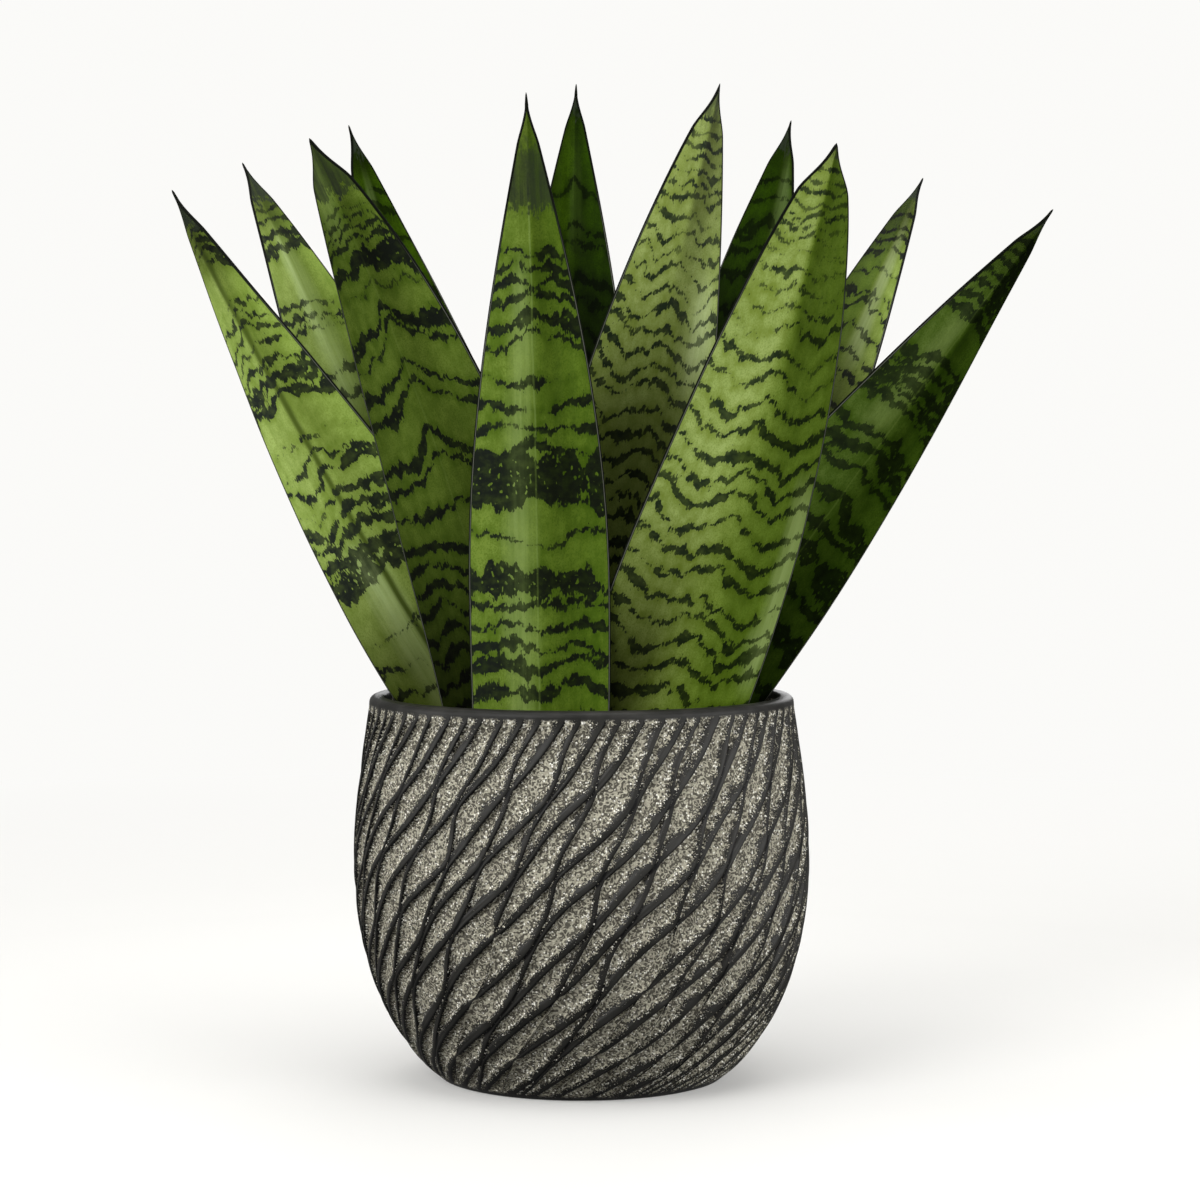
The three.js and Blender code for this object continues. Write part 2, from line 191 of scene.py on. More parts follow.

# Each leaf: foot, tip, bow, width, taper, blunt, facing and fold as in its solid, and its look. Lengths down
# it are in mm from the tip. Dark tip: start, end, softness and strength. Rib: the strength of a pale line
# painted as a highlight, or below 0 that of a dark groove painted as shade. Margins: how much the left and
# right half brighten towards them, painted light and shade. Streak, a painted sheen: place across from -1 to
# 1, width, start, end and strength. Halves: how bright the left and right one are, painted light and shade.
# Tip and foot shade, painted light and shade: start, end, and how much of that brightness is left there on
# the left and right
LEAVES = [
    {"name": "leaf_01", "foot": (-39, -5), "tip": (-177, -18, 389), "bow": (-4, 0), "width": 66,
     "taper": 214, "blunt": 0.95, "facing": (-9, -38), "fold": (-15, -12), "look": "pale",
     "dark_tip": (-5, 19, 2, 0.9), "rib": -1.0, "margins": (0.14, 0.42),
     "streak": (-0.2, 0.4, 165, 290, 0.6), "halves": (1.36, 1.12),
     "tip_shade": (24, 58, 0.36, 0.36), "foot_shade": (150, 240, 0.18, 0.45)},
    {"name": "leaf_02", "foot": (-43, 33), "tip": (-157, 85, 408), "bow": (3, -4), "width": 68,
     "taper": 215, "blunt": 0.87, "facing": (15, 42), "fold": (14, 12), "look": "pale",
     "dark_tip": (-5, 21, 1.5, 0.92), "rib": 0.12, "margins": (0, 0.42),
     "streak": (0.05, 0.42, 25, 140, 0.55), "halves": (0.96, 0.72),
     "tip_shade": (16, 48, 0.35, 0.35), "foot_shade": (90, 160, 0.5, 0.5)},
    {"name": "leaf_03", "foot": (-26, -29), "tip": (-112, -85, 406), "bow": (9, 3), "width": 70,
     "taper": 211, "blunt": 0.65, "facing": (-13, -30), "fold": (-13, -8), "look": "mid",
     "dark_tip": (-5, 26, 1, 0.72), "rib": 0.08, "margins": (-0.2, 0.6),
     "streak": (-0.55, 0.6, -10, 55, 0.35), "halves": (0.64, 0.66),
     "tip_shade": (10, 50, 1.5, 1.05), "foot_shade": (140, 255, 0.14, 0.08)},
    {"name": "leaf_04", "foot": (-12, 15), "tip": (-105, 45, 422), "bow": (-4, -3), "width": 60,
     "taper": 215, "blunt": 0.88, "facing": (-8, 35), "fold": (12, 10), "look": "dark",
     "dark_tip": (-5, 14, 3, 0.9), "rib": 0, "margins": (0.2, 0.42),
     "streak": (0.1, 0.3, 10, 60, 0.5), "halves": (0.95, 0.85),
     "tip_shade": (15, 35, 0.25, 0.25), "foot_shade": (60, 120, 0.4, 0.4)},
    {"name": "leaf_05", "foot": (-17, -56), "tip": (-22, -105, 423), "bow": (1, 4), "width": 60,
     "taper": 212, "blunt": 1, "facing": (0, 0), "fold": (-14, -10), "look": "mid",
     "dark_tip": (22, 48, 2, 0.74), "rib": 0.25, "margins": (0.1, 0.42),
     "streak": (-0.25, 0.34, 60, 290, 0.42), "halves": (1.0, 0.66),
     "tip_shade": (44, 54, 0.72, 0.95), "foot_shade": (200, 290, 0.9, 1.1)},
    {"name": "leaf_06", "foot": (-8, 61), "tip": (-3, 105, 446), "bow": (0, -4), "width": 63,
     "taper": 220, "blunt": 0.98, "facing": (4, -16), "fold": (14, 10), "look": "dark",
     "dark_tip": (-5, 13, 4, 0.9), "rib": 0, "margins": (-0.3, 0.6),
     "streak": (0.15, 0.3, 20, 90, 0.2), "halves": (0.7, 0.44),
     "tip_shade": (8, 30, 0.4, 0.4), "foot_shade": (50, 120, 0.35, 0.35)},
    {"name": "leaf_07", "foot": (3, -17), "tip": (60, -15, 435), "bow": (-3, -2), "width": 69,
     "taper": 220, "blunt": 0.78, "facing": (-2, 28), "fold": (-12, -10), "look": "frost",
     "dark_tip": (-5, 14, 7, 0.85), "rib": 0, "margins": (0.15, 0.62),
     "streak": (0.62, 0.34, 75, 145, 0.45), "halves": (1.04, 1.04),
     "tip_shade": (20, 110, 0.95, 0.5), "foot_shade": (90, 165, 0.32, 0.36)},
    {"name": "leaf_08", "foot": (36, 30), "tip": (96, 80, 427), "bow": (0, -4), "width": 64,
     "taper": 214, "blunt": 0.82, "facing": (-4, -36), "fold": (14, 12), "look": "dark",
     "dark_tip": (-5, 14, 3, 0.9), "rib": 0, "margins": (-0.1, 0.42),
     "streak": (0.5, 0.5, 8, 90, 0.55), "halves": (0.48, 0.78),
     "tip_shade": (10, 35, 0.45, 0.45), "foot_shade": (50, 105, 0.2, 0.2)},
    {"name": "leaf_09", "foot": (29, -41), "tip": (105, -98, 403), "bow": (5, 4), "width": 79,
     "taper": 226, "blunt": 0.62, "facing": (13, 24), "fold": (-13, -10), "look": "fine",
     "dark_tip": (-5, 4, 2, 0.85), "rib": 0, "margins": (-0.05, 0.15),
     "streak": (0.9, 0.24, 135, 245, 0.9), "halves": (1.6, 0.64),
     "tip_shade": (4, 14, 0.6, 0.6), "foot_shade": (130, 250, 0.1, 1.3)},
    {"name": "leaf_10", "foot": (44, 46), "tip": (160, 115, 403), "bow": (-1, -4), "width": 61,
     "taper": 214, "blunt": 0.82, "facing": (-14, -42), "fold": (14, 12), "look": "pale",
     "dark_tip": (-5, 13, 3, 0.9), "rib": 0, "margins": (-0.3, 0.6),
     "streak": (0.3, 0.4, 8, 110, 0.8), "halves": (0.36, 0.72),
     "tip_shade": (20, 55, 0.35, 0.35), "foot_shade": (70, 130, 0.35, 0.35)},
    {"name": "leaf_11", "foot": (35, 0), "tip": (207, 5, 382), "bow": (0, 0), "width": 64,
     "taper": 214, "blunt": 0.86, "facing": (7, 38), "fold": (-14, -12), "look": "deep",
     "dark_tip": (-5, 12, 4, 0.9), "rib": 0.2, "margins": (0, 0.42),
     "streak": (-0.3, 0.4, 45, 140, 0.3), "halves": (1.25, 0.6),
     "tip_shade": (15, 60, 0.4, 0.4), "foot_shade": (140, 250, 0.4, 0.4)},
]

# Dark marks on each leaf, from its tip down. Each has its distances from the tip (mm) at the left margin,
# half-way, the midrib, half-way and the right margin, and its thickness (mm) at the same five places
MARKS = {
    "leaf_01": [
        ((24, 22, 19, 20, 21), (0, 1, 2, 3, 3)), ((29, 27, 24, 25, 27), (0, 1, 2, 3, 3)),
        ((34, 32, 29, 30, 33), (0, 1, 1, 3, 3)), ((40, 38, 35, 35, 38), (0, 0, 1, 3, 4)),
        ((62, 60, 55, 56, 59), (0, 0, 1, 1.5, 1)), ((68, 66, 60, 63, 66), (1, 1.5, 1.5, 1.5, 1)),
        ((78, 73, 66, 70, 74), (1.5, 1.5, 1.5, 2, 2)), ((84, 80, 76, 78, 80), (1, 1.3, 1, 1.5, 1.5)),
        ((90, 88, 84, 86, 90), (1.5, 2, 2, 2, 2)), ((97, 96, 91, 94, 98), (4, 4, 4, 6, 5)),
        ((105, 103, 99, 102, 107), (5, 4, 3, 4, 5)), ((124, 123, 121, 123, 125), (0, 1, 1.5, 0, 0)),
        ((134, 135, 128, 134, 139), (1, 1.5, 1.5, 2, 3)), ((140, 147, 139, 138, 143), (2, 2.5, 2, 3, 4)),
        ((152, 156, 148, 152, 158), (0, 1, 2, 4, 4)), ((160, 165, 156, 160, 168), (4, 3, 3, 4, 4)),
        ((168, 171, 165, 168, 176), (3, 3, 4, 4, 3)), ((177, 178, 176, 178, 182), (4, 5, 5, 4, 4)),
        ((188, 188, 184, 184, 188), (11, 9, 9, 8, 8)), ((214, 216, 215, 214, 214), (0, 1, 1.5, 1, 0)),
        ((228, 230, 232, 230, 228), (4, 1, 0, 0, 1)), ((240, 243, 246, 243, 240), (3, 2, 1, 1, 2)),
    ],
    "leaf_02": [
        ((26, 26, 27, 25, 24), (1, 1, 1, 1.5, 1)), ((32, 32, 31, 31, 31), (2, 2, 1, 2, 2)),
        ((41, 40, 38, 38, 40), (4, 3, 2, 4, 4)), ((48, 48, 45, 44, 46), (6, 5, 3, 5, 5)),
        ((76, 75, 74, 76, 76), (2, 3, 2, 1, 0)), ((83, 82, 80, 83, 84), (2, 2.5, 2, 2, 1)),
        ((89, 88, 86, 88, 90), (0, 2, 1, 1, 0)), ((112, 112, 110, 108, 112), (6, 4, 1, 6, 6)),
        ((122, 122, 120, 120, 124), (8, 6, 3, 6, 8)), ((146, 144, 140, 142, 146), (3, 3, 2, 3, 3)),
        ((170, 168, 164, 168, 172), (6, 5, 4, 5, 6)), ((196, 194, 190, 194, 198), (4, 4, 3, 4, 4)),
        ((220, 218, 212, 218, 222), (8, 6, 5, 6, 8)),
    ],
    "leaf_03": [
        ((37, 34, 31, 33, 34), (0, 1, 1.2, 1, 0)), ((42, 39, 35, 37, 38), (1, 1.3, 1.2, 1.3, 1)),
        ((47, 44, 40, 42, 43), (1.2, 1.5, 1.2, 1.5, 1.5)), ((52, 49, 45, 47, 48), (1.4, 1.6, 1.5, 1.8, 2)),
        ((62, 59, 54, 57, 57), (7, 7, 5, 8, 10)),
        ((72, 70, 66, 68, 70), (0, 1, 1, 1, 1)), ((93, 88, 78, 87, 88), (5, 4, 3, 5, 6)),
        ((104, 99, 84, 93, 100), (1.5, 1.5, 1.5, 2, 1.5)), ((117, 113, 101, 113, 121), (4, 3.5, 2, 2, 3)),
        ((129, 125, 110, 122, 129), (3, 4, 1.5, 2, 3)), ((149, 149, 133, 147, 154), (4, 4, 4, 4, 4)),
        ((158, 157, 143, 152, 160), (2, 2, 1.5, 3, 3)), ((171, 171, 166, 166, 172), (2, 3, 2, 3, 3)),
        ((187, 184, 187, 176, 182), (3, 3.5, 3.5, 4, 4)), ((196, 192, 200, 190, 196), (3, 2, 3, 3, 3)),
        ((206, 200, 210, 202, 208), (2.5, 3, 3, 3, 3)), ((217, 209, 222, 212, 218), (3, 3, 3.5, 3, 3)),
        ((229, 220, 234, 222, 228), (3, 3, 3.5, 3.5, 3)), ((240, 231, 246, 234, 240), (3, 4, 4, 4, 3)),
        ((252, 243, 257, 246, 252), (3, 4, 4, 4, 3)), ((264, 256, 268, 258, 264), (4, 4, 4, 4, 4)),
    ],
    "leaf_04": [
        ((34, 32, 30, 32, 35), (1, 2, 1, 2, 2)), ((44, 42, 38, 41, 45), (3, 3, 2, 3, 4)),
        ((58, 55, 50, 54, 58), (2, 3, 2, 3, 3)), ((84, 80, 74, 80, 84), (7, 6, 5, 6, 7)),
        ((120, 116, 110, 115, 120), (4, 4, 3, 4, 4)), ((152, 148, 142, 148, 152), (7, 6, 6, 6, 7)),
        ((186, 182, 176, 182, 186), (4, 4, 3, 4, 4)), ((216, 212, 205, 212, 216), (8, 7, 6, 7, 8)),
    ],
    "leaf_05": [
        ((66, 65, 67, 65, 68), (1, 2, 1, 2, 1)),
        ((74, 71, 73, 70, 75), (2, 2.5, 2.5, 3, 3)), ((80, 77, 80, 77, 82), (2, 3, 2, 3, 4)),
        ((87, 86, 82, 86, 89), (2, 2.5, 3, 3, 3)), ((99, 97, 91, 95, 99), (3, 5, 5, 4, 4)),
        ((107, 105, 98, 101, 107), (1.5, 1.5, 2, 1.5, 3)), ((119, 120, 120, 120, 118), (0, 2, 3, 0, 0)),
        ((131, 131, 133, 131, 128), (2, 3, 0, 3, 3)), ((140, 138, 141, 140, 140), (3, 1, 1.5, 2, 3)),
        ((152, 150, 146, 150, 152), (3, 2, 4, 2, 2)), ((162, 162, 160, 162, 163), (19, 18, 15, 20, 22)),
        ((172, 170, 168, 172, 172), (3, 4, 3, 3, 4)), ((184, 186, 190, 185, 184), (1.5, 1.5, 1, 1.5, 2)),
        ((207, 204, 206, 206, 209), (9, 8, 8, 13, 13)), ((217, 216, 214, 216, 216), (2, 3, 2, 2, 2)),
        ((227, 223, 226, 223, 226), (1.5, 2, 2, 2, 2.5)), ((236, 231, 236, 231, 238), (3, 3.5, 2, 2, 3)),
        ((245, 240, 244, 238, 243), (4, 5, 2.5, 2.5, 3)), ((256, 252, 254, 249, 254), (6, 4, 5, 3, 4)),
        ((270, 264, 266, 262, 268), (4, 4, 4, 3, 4)),
    ],
    "leaf_06": [
        ((54, 52, 47, 52, 56), (2, 2, 2, 2, 2)), ((74, 72, 69, 72, 75), (1, 2, 1.5, 2, 2)),
        ((80, 79, 75, 78, 80), (2, 1.5, 1, 2, 1)), ((98, 96, 92, 96, 99), (3, 3, 3, 3, 3)),
        ((108, 106, 102, 106, 110), (2, 2, 2, 2, 2)), ((124, 121, 116, 121, 125), (4, 4, 3, 4, 4)),
        ((136, 133, 128, 133, 138), (5, 4, 4, 4, 5)), ((168, 165, 158, 165, 170), (7, 6, 5, 6, 7)),
        ((205, 200, 193, 200, 206), (5, 5, 4, 5, 5)), ((240, 236, 228, 236, 242), (8, 7, 6, 7, 8)),
    ],
    "leaf_08": [
        ((32, 30, 28, 30, 31), (2, 2, 1, 1, 2)), ((42, 40, 37, 39, 42), (2, 2, 2, 1.5, 2)),
        ((57, 54, 50, 54, 57), (4, 4, 4, 2, 3)), ((66, 64, 61, 63, 66), (4, 3, 2, 2, 3)),
        ((78, 76, 71, 74, 79), (5, 4, 4, 3, 4)), ((96, 93, 88, 92, 96), (3, 3, 2, 3, 3)),
        ((112, 109, 104, 108, 113), (6, 5, 4, 5, 6)), ((138, 135, 128, 134, 139), (4, 4, 3, 4, 4)),
        ((164, 160, 153, 160, 165), (7, 6, 5, 6, 7)), ((196, 192, 185, 192, 197), (5, 5, 4, 5, 5)),
        ((228, 224, 216, 224, 230), (8, 7, 6, 7, 8)),
    ],
    "leaf_10": [
        ((24, 22, 20, 21, 23), (1, 2, 1, 1.5, 2)), ((32, 30, 28, 29, 31), (2, 2, 1, 1.5, 1.5)),
        ((37, 36, 34, 34, 36), (2, 2, 1.5, 2, 2)), ((43, 42, 40, 40, 44), (2, 2, 1, 2, 2)),
        ((54, 52, 50, 52, 55), (1, 1.5, 1, 1, 1)), ((66, 64, 63, 66, 70), (2, 3, 1.5, 1.5, 1.5)),
        ((76, 72, 67, 74, 78), (2, 2, 2, 1.5, 2)), ((88, 84, 80, 86, 90), (2, 2, 2, 2, 2)),
        ((100, 97, 92, 98, 103), (2, 2, 1.5, 2, 2)), ((112, 109, 104, 108, 113), (3, 3, 2, 3, 3)),
        ((126, 123, 118, 124, 128), (3, 2, 2, 3, 3)), ((146, 143, 138, 142, 147), (5, 4, 3, 4, 5)),
        ((170, 166, 160, 166, 171), (4, 4, 3, 4, 4)), ((196, 192, 186, 192, 198), (6, 5, 4, 5, 6)),
        ((226, 222, 215, 222, 228), (4, 4, 3, 4, 4)),
    ],
    "leaf_11": [
        ((20, 19, 18, 20, 21), (1.5, 2, 3, 5, 4)), ((26, 25, 24, 27, 28), (1.5, 2.5, 4, 5, 5)),
        ((32, 31, 31, 34, 36), (2, 2, 3, 4, 4)), ((38, 38, 38, 40, 43), (2, 2.5, 3, 4, 5)),
        ((45, 44, 44, 46, 49), (2.5, 3, 4, 5, 5)), ((52, 51, 51, 52, 56), (2.5, 2.5, 3, 3, 5)),
        ((60, 59, 58, 59, 63), (5, 5, 4, 5, 6)), ((88, 87, 82, 84, 86), (4, 4, 3, 2, 4)),
        ((94, 93, 90, 91, 92), (3, 3, 3, 4, 5)), ((99, 98, 98, 100, 99), (3, 2.5, 3, 5, 4)),
        ((104, 103, 104, 107, 106), (3, 3, 2, 4, 6)), ((110, 110, 109, 113, 115), (5, 3, 2, 1, 3)),
        ((128, 129, 124, 128, 130), (3, 3, 3, 5, 4)), ((137, 137, 131, 136, 139), (4, 4, 4, 6, 6)),
        ((146, 145, 142, 146, 148), (3, 3, 3, 2, 3)), ((162, 160, 158, 166, 168), (5, 4, 5, 7, 8)),
        ((174, 172, 172, 174, 174), (3, 4, 4, 2, 3)), ((188, 186, 184, 190, 192), (9, 8, 7, 12, 14)),
        ((202, 200, 200, 204, 206), (3, 3, 3, 3, 4)), ((222, 220, 216, 222, 226), (8, 7, 6, 9, 10)),
        ((244, 242, 238, 244, 248), (5, 5, 5, 6, 6)), ((262, 258, 255, 260, 264), (5, 5, 5, 5, 5)),
    ],
}

# Two leaves are crossed by many fine wavy lines instead: the first and last (mm from the tip), spacing and
# thickness near the tip and lower down, and how far a line dips between midrib and margin
FINE_LINES = {
    "leaf_07": {"from": 17, "to": 290, "spacing": (5.0, 9.4), "dip": 7.0, "thickness": (1.4, 2.7)},
    "leaf_09": {"from": 12, "to": 290, "spacing": (4.6, 10.8), "dip": 8.0, "thickness": (1.2, 2.7)},
}
# How deep such a line dips at its five places, and its wobble there (mm). Then the spread of its thickness
# and of the spacing, and where the thickness, the spacing and the dip set in (mm from the tip)
LINE_SHAPE = (-0.1, 1, 0, 1, -0.1)
LINE_WOBBLE = 1.2
LINE_STRENGTH = (0.5, 1.45)
LINE_SPREAD = (0.85, 1.15)
LINE_THICKENS = (60, 150)
LINE_SPREADS = (20, 90)
LINE_DIPS = (0, 110)
# Seeds of the fine lines' thickness and spacing
STRENGTH_SEED = 20
SPACING_SEED = 40

# How far a mark's curve is rounded between its five places
CURVE_EASE = 0.75
# How all marks wander: ripples with their height (mm), squeeze along the leaf and length (mm), and humps
# with their height, spacing, shift and level. It sets in between these lengths from the tip
MARK_SEED = 100
MARK_RIPPLES = ((1.3, 0.5, 13), (0.8, 0.4, 4.5))
HUMP_HEIGHT = 1.8
HUMP_SPACING = 6.0
HUMP_SHIFT = 1.8
HUMP_LENGTH = 12
HUMP_LEVEL = 0.6
WANDER_START = (5, 60)
# Thickness: its gain, what marks of more than a hairline get on top, and how uneven it is across the leaf.
# Where no mark is near, this stands for the distance
THICK_GAIN = 1.1
THICK_EXTRA = 0.5
HAIRLINE = (0.5, 1.5)
UNEVEN = 0.35
UNEVEN_LENGTH = 9
UNEVEN_STEP = 31.0
NO_MARK = 40.0

# Looks: two greens, a light colour for the painted sheen and the rib's painted highlight, the marks, gloss,
# and how fully the marks cover. Colours in linear light. The dark look, on the three leaves at the back, is
# partly their own colour and partly painted shade
LOOKS = {
    "pale": {"pale": (0.265, 0.35, 0.085), "deep": (0.145, 0.21, 0.03), "light": (0.42, 0.52, 0.24),
             "band": (0.012, 0.016, 0.011), "shine": 0.1, "ink": 0.95},
    "mid": {"pale": (0.15, 0.222, 0.032), "deep": (0.064, 0.113, 0.008), "light": (0.3, 0.4, 0.13),
            "band": (0.009, 0.012, 0.008), "shine": 0.06, "ink": 0.97},
    "fine": {"pale": (0.224, 0.288, 0.078), "deep": (0.112, 0.156, 0.02), "light": (0.47, 0.5, 0.46),
             "band": (0.011, 0.018, 0.007), "shine": 0.07, "ink": 0.95},
    "frost": {"pale": (0.265, 0.33, 0.1), "deep": (0.14, 0.185, 0.03), "light": (0.45, 0.52, 0.27),
              "band": (0.011, 0.018, 0.008), "shine": 0.07, "ink": 0.95},
    "dark": {"pale": (0.034, 0.072, 0.002), "deep": (0.013, 0.028, 0.001), "light": (0.13, 0.19, 0.06),
             "band": (0.003, 0.006, 0.001), "shine": 0.008, "ink": 0.8},
    "deep": {"pale": (0.066, 0.105, 0.017), "deep": (0.027, 0.053, 0.003), "light": (0.16, 0.21, 0.06),
             "band": (0.007, 0.011, 0.004), "shine": 0.02, "ink": 0.9},
}
TIP_COLOR = (0.02, 0.026, 0.016)
MARGIN_DARK = (0.004, 0.005, 0.003)
# Painted highlight: the pale line just inside the leaf margins
MARGIN_HIGHLIGHT = (0.33, 0.35, 0.28)
RIDGE_COLOR = (0.0145, 0.0142, 0.0125)
RIDGE_WORN = (0.029, 0.028, 0.0253)
# Painted shadow in the crease beside each ridge's steep side
CREASE_SHADOW = (0.003, 0.003, 0.003)
SAND_DARK = (0.31, 0.293, 0.23)
SAND_COLOR = (0.5, 0.475, 0.372)
SAND_GAP = (0.05, 0.045, 0.036)
SAND_GLINT = (0.95, 0.93, 0.84)
SOIL_DARK = (0.012, 0.008, 0.005)
SOIL_COLOR = (0.07, 0.045, 0.028)
SOIL_GRAIN = (0.3, 0.27, 0.22)

# A leaf half painted as turned from the light loses some red and most of its blue: powers of its tint and
# painted shade
TINT_RED = 0.25
TINT_BLUE = 1.1
SHADE_BLUE = 1.2

# Noises of a leaf's finish: seed, size across and along (mm), detail and roughness. Each leaf's number times
# LEAF_SEED goes on top of the seed
LEAF_SEED = 7.31
LEAF_NOISES = {
    "teeth": (3.1, 0.8, 3.0, 1.0, 0.5), "fine": (4.4, 0.55, 1.5, 0.0, 0.5),
    "breaks": (9.4, 4.5, 4.0, 2.0, 0.5), "holes": (5.3, 1.7, 2.8, 1.0, 0.5),
    "crumbs": (6.6, 0.9, 2.2, 1.0, 0.6), "mottle": (15.0, 5.0, 8.0, 3.0, 0.6),
    "clouds": (16.5, 14.0, 30.0, 2.0, 0.5), "streaks": (18.0, 1.6, 60.0, 2.0, 0.6),
    "specks": (21.0, 0.55, 0.8, 1.0, 0.6), "fibres": (25.0, 0.9, 60.0, 2.0, 0.5),
    "pores": (28.0, 0.6, 0.8, 1.0, 0.5),
}
# Where each thing of a leaf's finish sets in, from nought to full: mm from a mark's edge, of its thickness,
# from the rib, from the margin or from the tip, or the level of its noise
LEAF_STEPS = {
    "broad mark": (1.2, 7.0), "thick line": (0.9, 2.3), "mark edge": (0.4, -0.35),
    "mark middle": (-1.6, -3.6), "near a mark": (4.0, 0.5), "clear of marks": (0.5, 4.5),
    "holes": (0.64, 0.67), "crumbs": (0.71, 0.76), "mottle": (0.34, 0.66), "clouds": (0.35, 0.65),
    "streaks": (0.35, 0.65), "specks": (0.42, 0.68), "groove": (2.6, 0.3), "groove start": (8.0, 30.0),
    "rib": (0.6, 0.15), "rib start": (20.0, 60.0), "dark margin": (1.15, 0.8),
    "pale line": (0.35, 0.5), "pale line end": (0.8, 0.65), "pale line start": (40.0, 90.0),
}
# Marks: teeth and breaks at the edge of a thin mark (mm), what a broad one adds, and the finest teeth. Then
# the cover of a thin line, and how far breaks thin the cover
TEETH = (1.7, 2.8)
BREAKS = (1.3, 1.8)
FINE_TEETH = 1.7
LINE_INK = 0.7
INK_BREAKS = 0.6
# Greens: the share of each noise, what clear green between marks adds, less a level, and the specks' share
GREEN_SHARES = {"mottle": 0.45, "clouds": 0.3, "streaks": 0.15}
CLEAR_SHARE = 0.35
CLEAR_LEVEL = 0.08
SPECK_SHARE = 0.5
# Streak, a painted sheen: its drift, core, fade along the leaf (mm), least strength, grain, and how far it
# veils the marks
STREAK_DRIFT = 0.3
STREAK_CORE = 0.1
STREAK_FADE = 25.0
STREAK_LEAST = 0.3
STREAK_GRAIN = 1.2
STREAK_VEIL = 0.35
# Rib: its level and drift (mm), and the colour of the groove's painted shade as a share of the deep green
RIB_LEVEL = 0.2
RIB_DRIFT = 2.0
GROOVE_SHADOW_SHARE = 0.45
# Dark tip: teeth and breaks of its edge (mm), softness at its start, and how patchy it is
TIP_TEETH = 13.0
TIP_BREAKS = 16.0
TIP_SOFT = 5.0
TIP_MOTTLE = 0.8
TIP_PATCHES = 0.9
# How strongly the pale line along the margins, a painted highlight, shows
MARGIN_HIGHLIGHT_SHARE = 0.3
# Roughness of a leaf, what mottle and the dark margin add, and its bump (m, strength)
LEAF_ROUGH = 0.36
MOTTLE_ROUGH = 0.16
MARGIN_ROUGH = 0.4
LEAF_BUMP = (0.0002, 0.6)

# Noises of the planter's finish: scale per mm and detail
POT_NOISES = {
    "ragged": (1.5, 2.0), "lumps": (0.33, 2.0), "patches": (0.075, 2.0), "curls": (0.62, 0.0),
    "kinks": (1.3, 0.0), "pits": (1.4, 4.0),
}
# Where each thing of the planter's finish sets in: heights, mm from the line on the left or right, or levels
POT_STEPS = {
    "over the foot": (1.2, 3.2), "under the lip": (166.0, 164.0), "near the foot": (45.0, 5.0),
    "bare patches": (0.47, 0.68), "sand on the right": (1.6, 2.1), "sand on the left": (1.0, 1.3),
    "crease": (0.45, 0.8), "crease end": (2.2, 1.5), "worms": (-0.5, 0.4), "grain tone": (0.0, 0.8),
    "right edge": (6.0, 2.6), "left edge": (3.0, 1.4), "glint": (0.92, 0.95), "glint middle": (0.6, 0.42),
    "worn": (0.35, 0.7),
}
# Sand: how far bare patches, ragged edges and lumps push its edges back (mm), its grains per mm, the wave of
# its worm-like curls and their kinks, how dark the gaps are, and how edges favour glints
PATCH_WIDTH = 1.6
RAGGED_RIGHT = 7.5
LUMPY_RIGHT = 3.2
RAGGED_LEFT = 1.6
GRAIN_SCALE = 1.2
CURL_WAVE = 15.0
KINK_WAVE = 3.0
GAP_SHARE = 0.85
EDGE_GLINTS = 0.15
# Roughness of the ridges and what sand adds, pits, bump (m, strength) and gloss
POT_ROUGH = 0.42
SAND_ROUGH = 0.5
PIT_SHARE = 0.12
POT_BUMP = (0.0004, 0.9)
POT_SHINE = 0.15

# Soil's finish: scales per metre of its noise and grains, which grains are pale, and their height. Then its
# roughness, what noise adds, bump (m, strength) and gloss
SOIL_NOISE_SCALE = 160.0
SOIL_NOISE_DETAIL = 4.0
SOIL_GRAIN_SCALE = 320.0
SOIL_STEPS = {"pale grains": (0.93, 0.95)}
SOIL_GRAIN_HEIGHT = 0.6
SOIL_ROUGH = 0.8
SOIL_NOISE_ROUGH = 0.2
SOIL_BUMP = (0.0015, 0.8)
SOIL_SHINE = 0.3

# Studio, in metres. The backdrop is a flat floor that bends up into a round wall: the floor's radius, the
# height of the bend, the wall's radius and its top, and then the steps of its mesh
STAGE_FLAT = 1.3
STAGE_BEND = 0.9
STAGE_WALL = 2.6
STAGE_TOP = 3.6
STAGE_FLOOR_STEPS = 10
STAGE_BEND_STEPS = 12
STAGE_SIDES = 96
# At these distances from the middle: how brightly the backdrop glows by itself, and how white it is where
# the lamps light it. Then the green and blue in that white, the colour of the glow, and the roughness
STAGE_GLOW_RADII = (0.25, 0.36, 0.56, 0.88, 1.3)
STAGE_GLOW = (0.25, 0.255, 0.225, 0.6, 0.965)
STAGE_WHITE = (0.5, 0.5, 0.5, 0.25, 0.0)
STAGE_GREEN = 0.99
STAGE_BLUE = 0.96
STAGE_GLOW_COLOR = (1, 0.995, 0.975, 1)
STAGE_ROUGH = 0.9
# The sky's strength below and overhead, between these slopes, and its colour
SKY_LOW = 0.12
SKY_HIGH = 0.42
SKY_SLOPES = (-0.3, 1.0)
SKY_COLOR = (1, 1, 0.99, 1)
# Lamps: name, place, aim and size (m), and power (W)
LAMPS = [
    ("key", (-1.2, -1.5, 1.3), (0, 0, 0.22), 1.4, 36),
    ("fill", (1.5, -1.3, 0.8), (0, 0, 0.15), 1.5, 22),
    ("left side", (-1.7, -0.2, 0.5), (0, 0, 0.12), 0.9, 9),
    ("right side", (1.7, -0.2, 0.5), (0, 0, 0.12), 0.9, 8),
    ("top", (0, -0.1, 2.1), (0, 0, 0.2), 2.2, 32),
    ("back", (0.3, 1.9, 1.0), (0, 0, 0.25), 1.5, 16),
]

# The lengths of a ripple's waves, as shares of its own length
RIPPLE_SPREAD = (0.6, 1.6)


